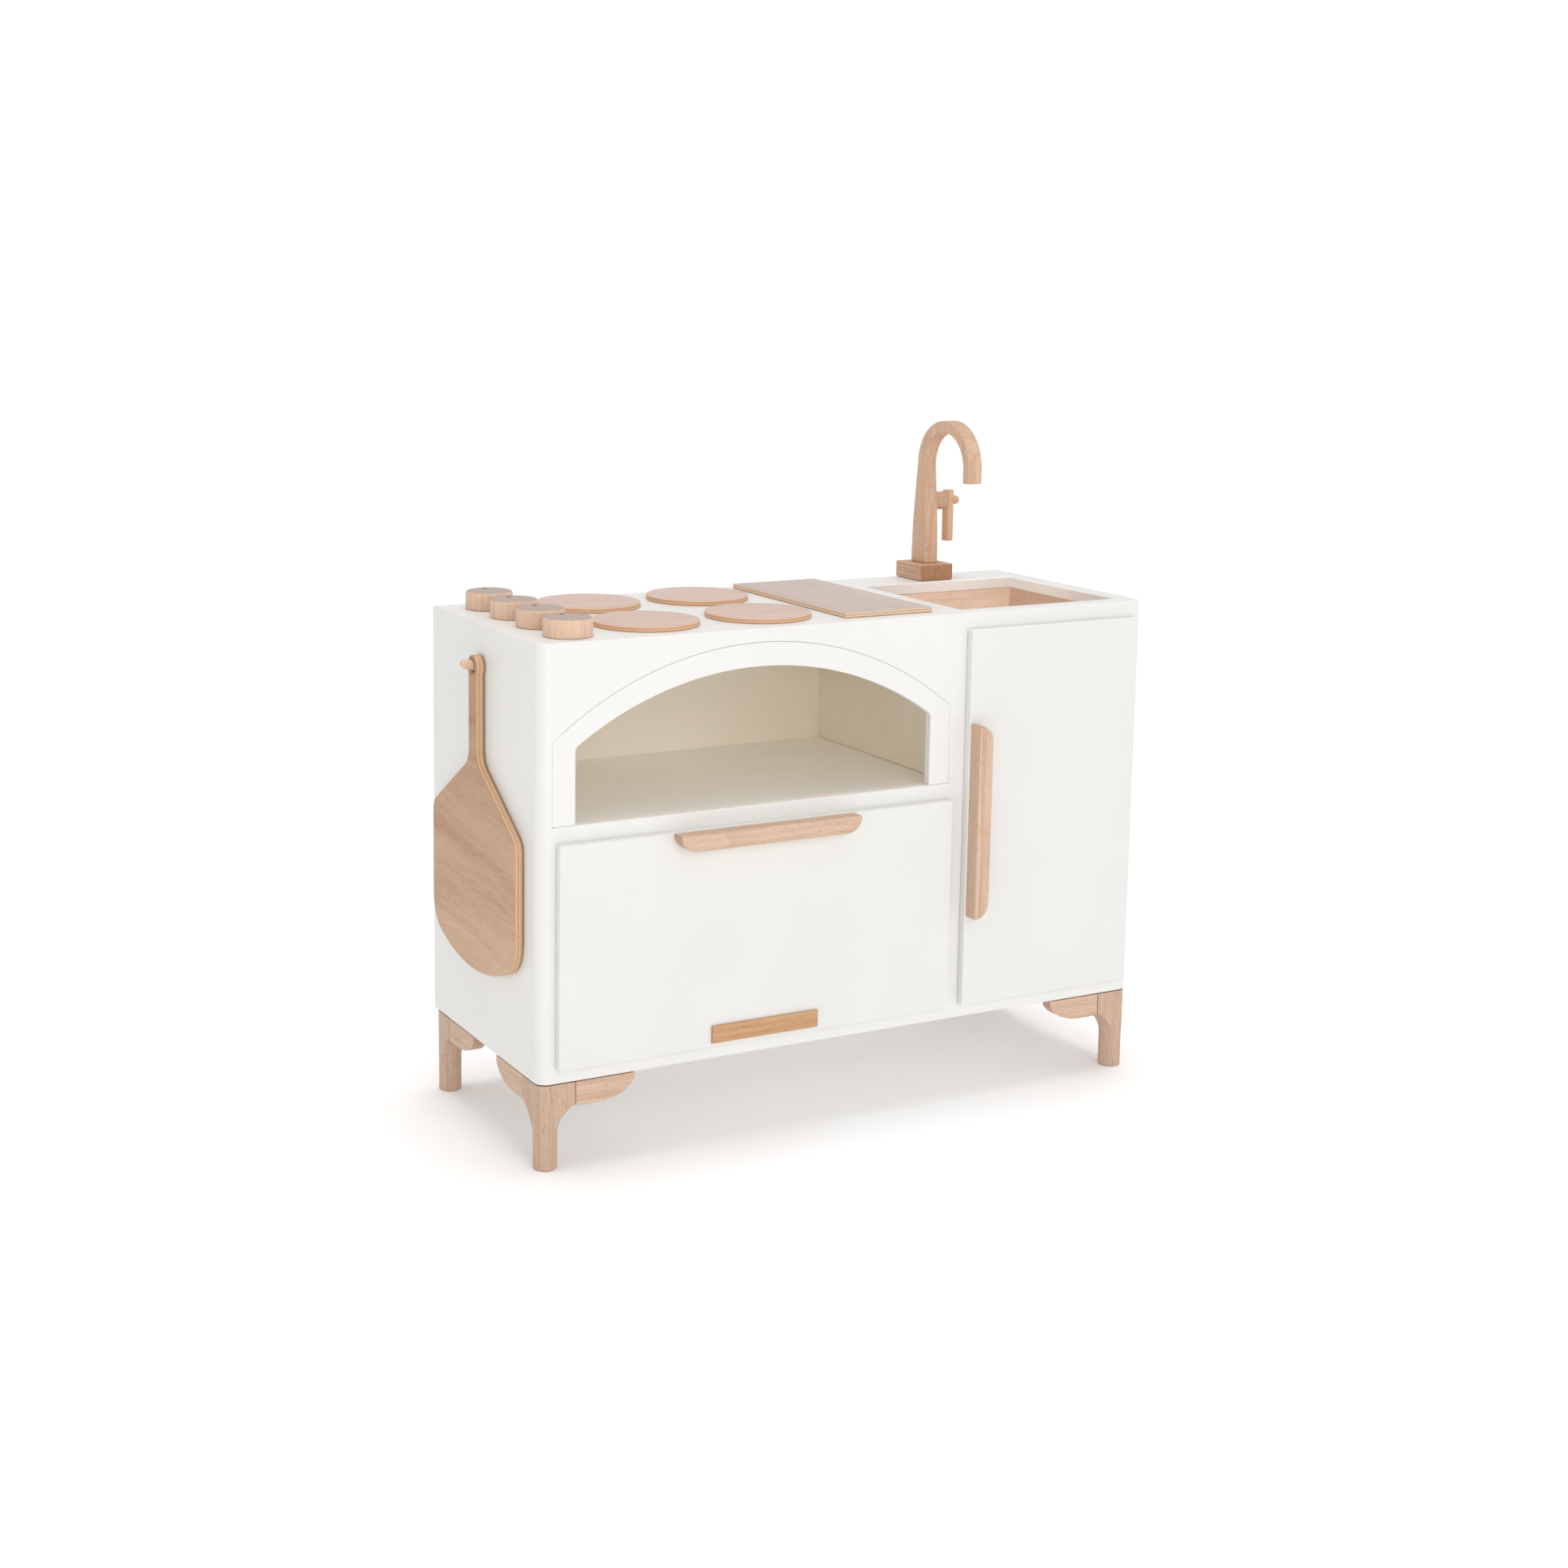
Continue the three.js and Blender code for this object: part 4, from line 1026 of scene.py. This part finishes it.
def make_peg():
    """A tilted dowel with a tapered tip, which the peel hangs from."""
    low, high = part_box("peel_peg")
    radius = PEG["radius"] * MM
    tip = PEG["tip"] * MM
    length = PEG["reach"] * MM / math.cos(PEG["tilt"])
    root = -PEG["root"] * MM
    profile = [(0, root), (radius, root), (radius, length - tip)]
    profile += [(radius - tip * 0.55, length - 0.4 * MM), (radius - tip * 0.75, length), (0, length)]
    peg = lathe("peel_peg_turned", profile, (0, 0, 0), segments=56)
    peg.data.set_sharp_from_angle(angle=math.radians(30))
    middle = (low.y + high.y) / 2
    half_height = PEG["radius"] / math.cos(PEG["tilt"])
    under_hole_top = (PEEL["hole"] + PEEL["hole_radius"] - PEG["slack"] - half_height) * MM
    outer = CASE_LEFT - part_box("pizza_peel")[0].x
    height = under_hole_top - outer * math.tan(PEG["tilt"])
    turn = Matrix.Rotation(PEG["tilt"] - math.pi / 2, 4, "Y")
    peg.data.transform(Matrix.Translation((CASE_LEFT, middle, height)) @ turn)
    material = beech("peg_beech", "X", pith=(0.05, 0.7), tone=1.1, end=(1.0, 0.97, 0.94))
    place(peg, "cabinet", "beech", material, "peel_peg")


make_peel()
make_peg()

# ---------------------------------------------------------------- studio

FLOOR_HALF = 30.0
FLOOR_GLOW = 0.07
STUDIO_LIGHT = 0.72
BACKDROP_LIGHT = 1.05


def make_floor():
    """A wide, pale floor with a faint glow, so that it ends in the same white as the backdrop."""
    bm = bmesh.new()
    size = FLOOR_HALF
    corners = [(-size, -size), (size, -size), (size, size), (-size, size)]
    bm.faces.new([bm.verts.new((x, y, 0)) for x, y in corners])
    floor = link("floor", bm, smooth=False)
    s = Shader("pale_floor")
    s.finish((0.94, 0.932, 0.932, 1), 0.8)
    s.surface.inputs["Emission Color"].default_value = (1, 1, 1, 1)
    s.surface.inputs["Emission Strength"].default_value = FLOOR_GLOW
    floor.data.materials.append(s.material)


def make_world():
    """An even white studio, brighter where the camera sees it than in the light it sheds."""
    world = bpy.data.worlds.new("studio")
    world.use_nodes = True
    tree = world.node_tree
    background = tree.nodes["Background"]
    background.inputs[0].default_value = (1.0, 1.0, 1.0, 1)
    background.inputs[1].default_value = STUDIO_LIGHT
    seen = tree.nodes.new("ShaderNodeBackground")
    seen.inputs[0].default_value = (1, 1, 1, 1)
    seen.inputs[1].default_value = BACKDROP_LIGHT
    choose = tree.nodes.new("ShaderNodeMixShader")
    path = tree.nodes.new("ShaderNodeLightPath")
    tree.links.new(path.outputs["Is Camera Ray"], choose.inputs[0])
    tree.links.new(background.outputs[0], choose.inputs[1])
    tree.links.new(seen.outputs[0], choose.inputs[2])
    tree.links.new(choose.outputs[0], tree.nodes["World Output"].inputs[0])
    SCENE.world = world


def aimed(lamp, position, aim):
    """Puts a lamp in the scene, pointed from its position at an aim."""
    lamp.location = position
    lamp.rotation_euler = (Vector(aim) - Vector(position)).to_track_quat("-Z", "Y").to_euler()
    SCENE.collection.objects.link(lamp)


def softbox(name, position, aim, size, power):
    """A rectangular area light."""
    data = bpy.data.lights.new(name, "AREA")
    data.shape = "RECTANGLE"
    data.size, data.size_y = size
    data.energy = power
    aimed(bpy.data.objects.new(name, data), position, aim)


def sky_panel(name, towards, strength, spread):
    """A far, broad light: parallel rays that are blurred over an angle."""
    data = bpy.data.lights.new(name, "SUN")
    data.energy = strength
    data.angle = math.radians(spread)
    aimed(bpy.data.objects.new(name, data), towards, (0, 0, 0))


def make_camera():
    """The photograph's quarter view from the front left."""
    data = bpy.data.cameras.new("camera")
    data.lens = 52.9
    data.sensor_width = 36.0
    data.shift_x = 0.10
    data.shift_y = -0.12
    camera = bpy.data.objects.new("camera", data)
    camera.location = (-1.5762, -2.6388, 1.1273)
    camera.rotation_euler = (math.radians(81.664), math.radians(-0.438), math.radians(-26.667))
    SCENE.collection.objects.link(camera)
    SCENE.camera = camera


make_floor()
make_world()
make_camera()
softbox("softbox_high", (-0.3, -3.7, 2.2), (-0.1, 0, 0.45), (2.0, 1.2), 22)
softbox("softbox_low", (-0.9, -3.7, 0.85), (-0.1, 0, 0.5), (1.6, 0.9), 12)
sky_panel("ceiling_panel", (0.1, 0.12, 2.0), 1.02, 30)
SCENE.cycles.diffuse_bounces = 8
SCENE.view_settings.view_transform = "Standard"
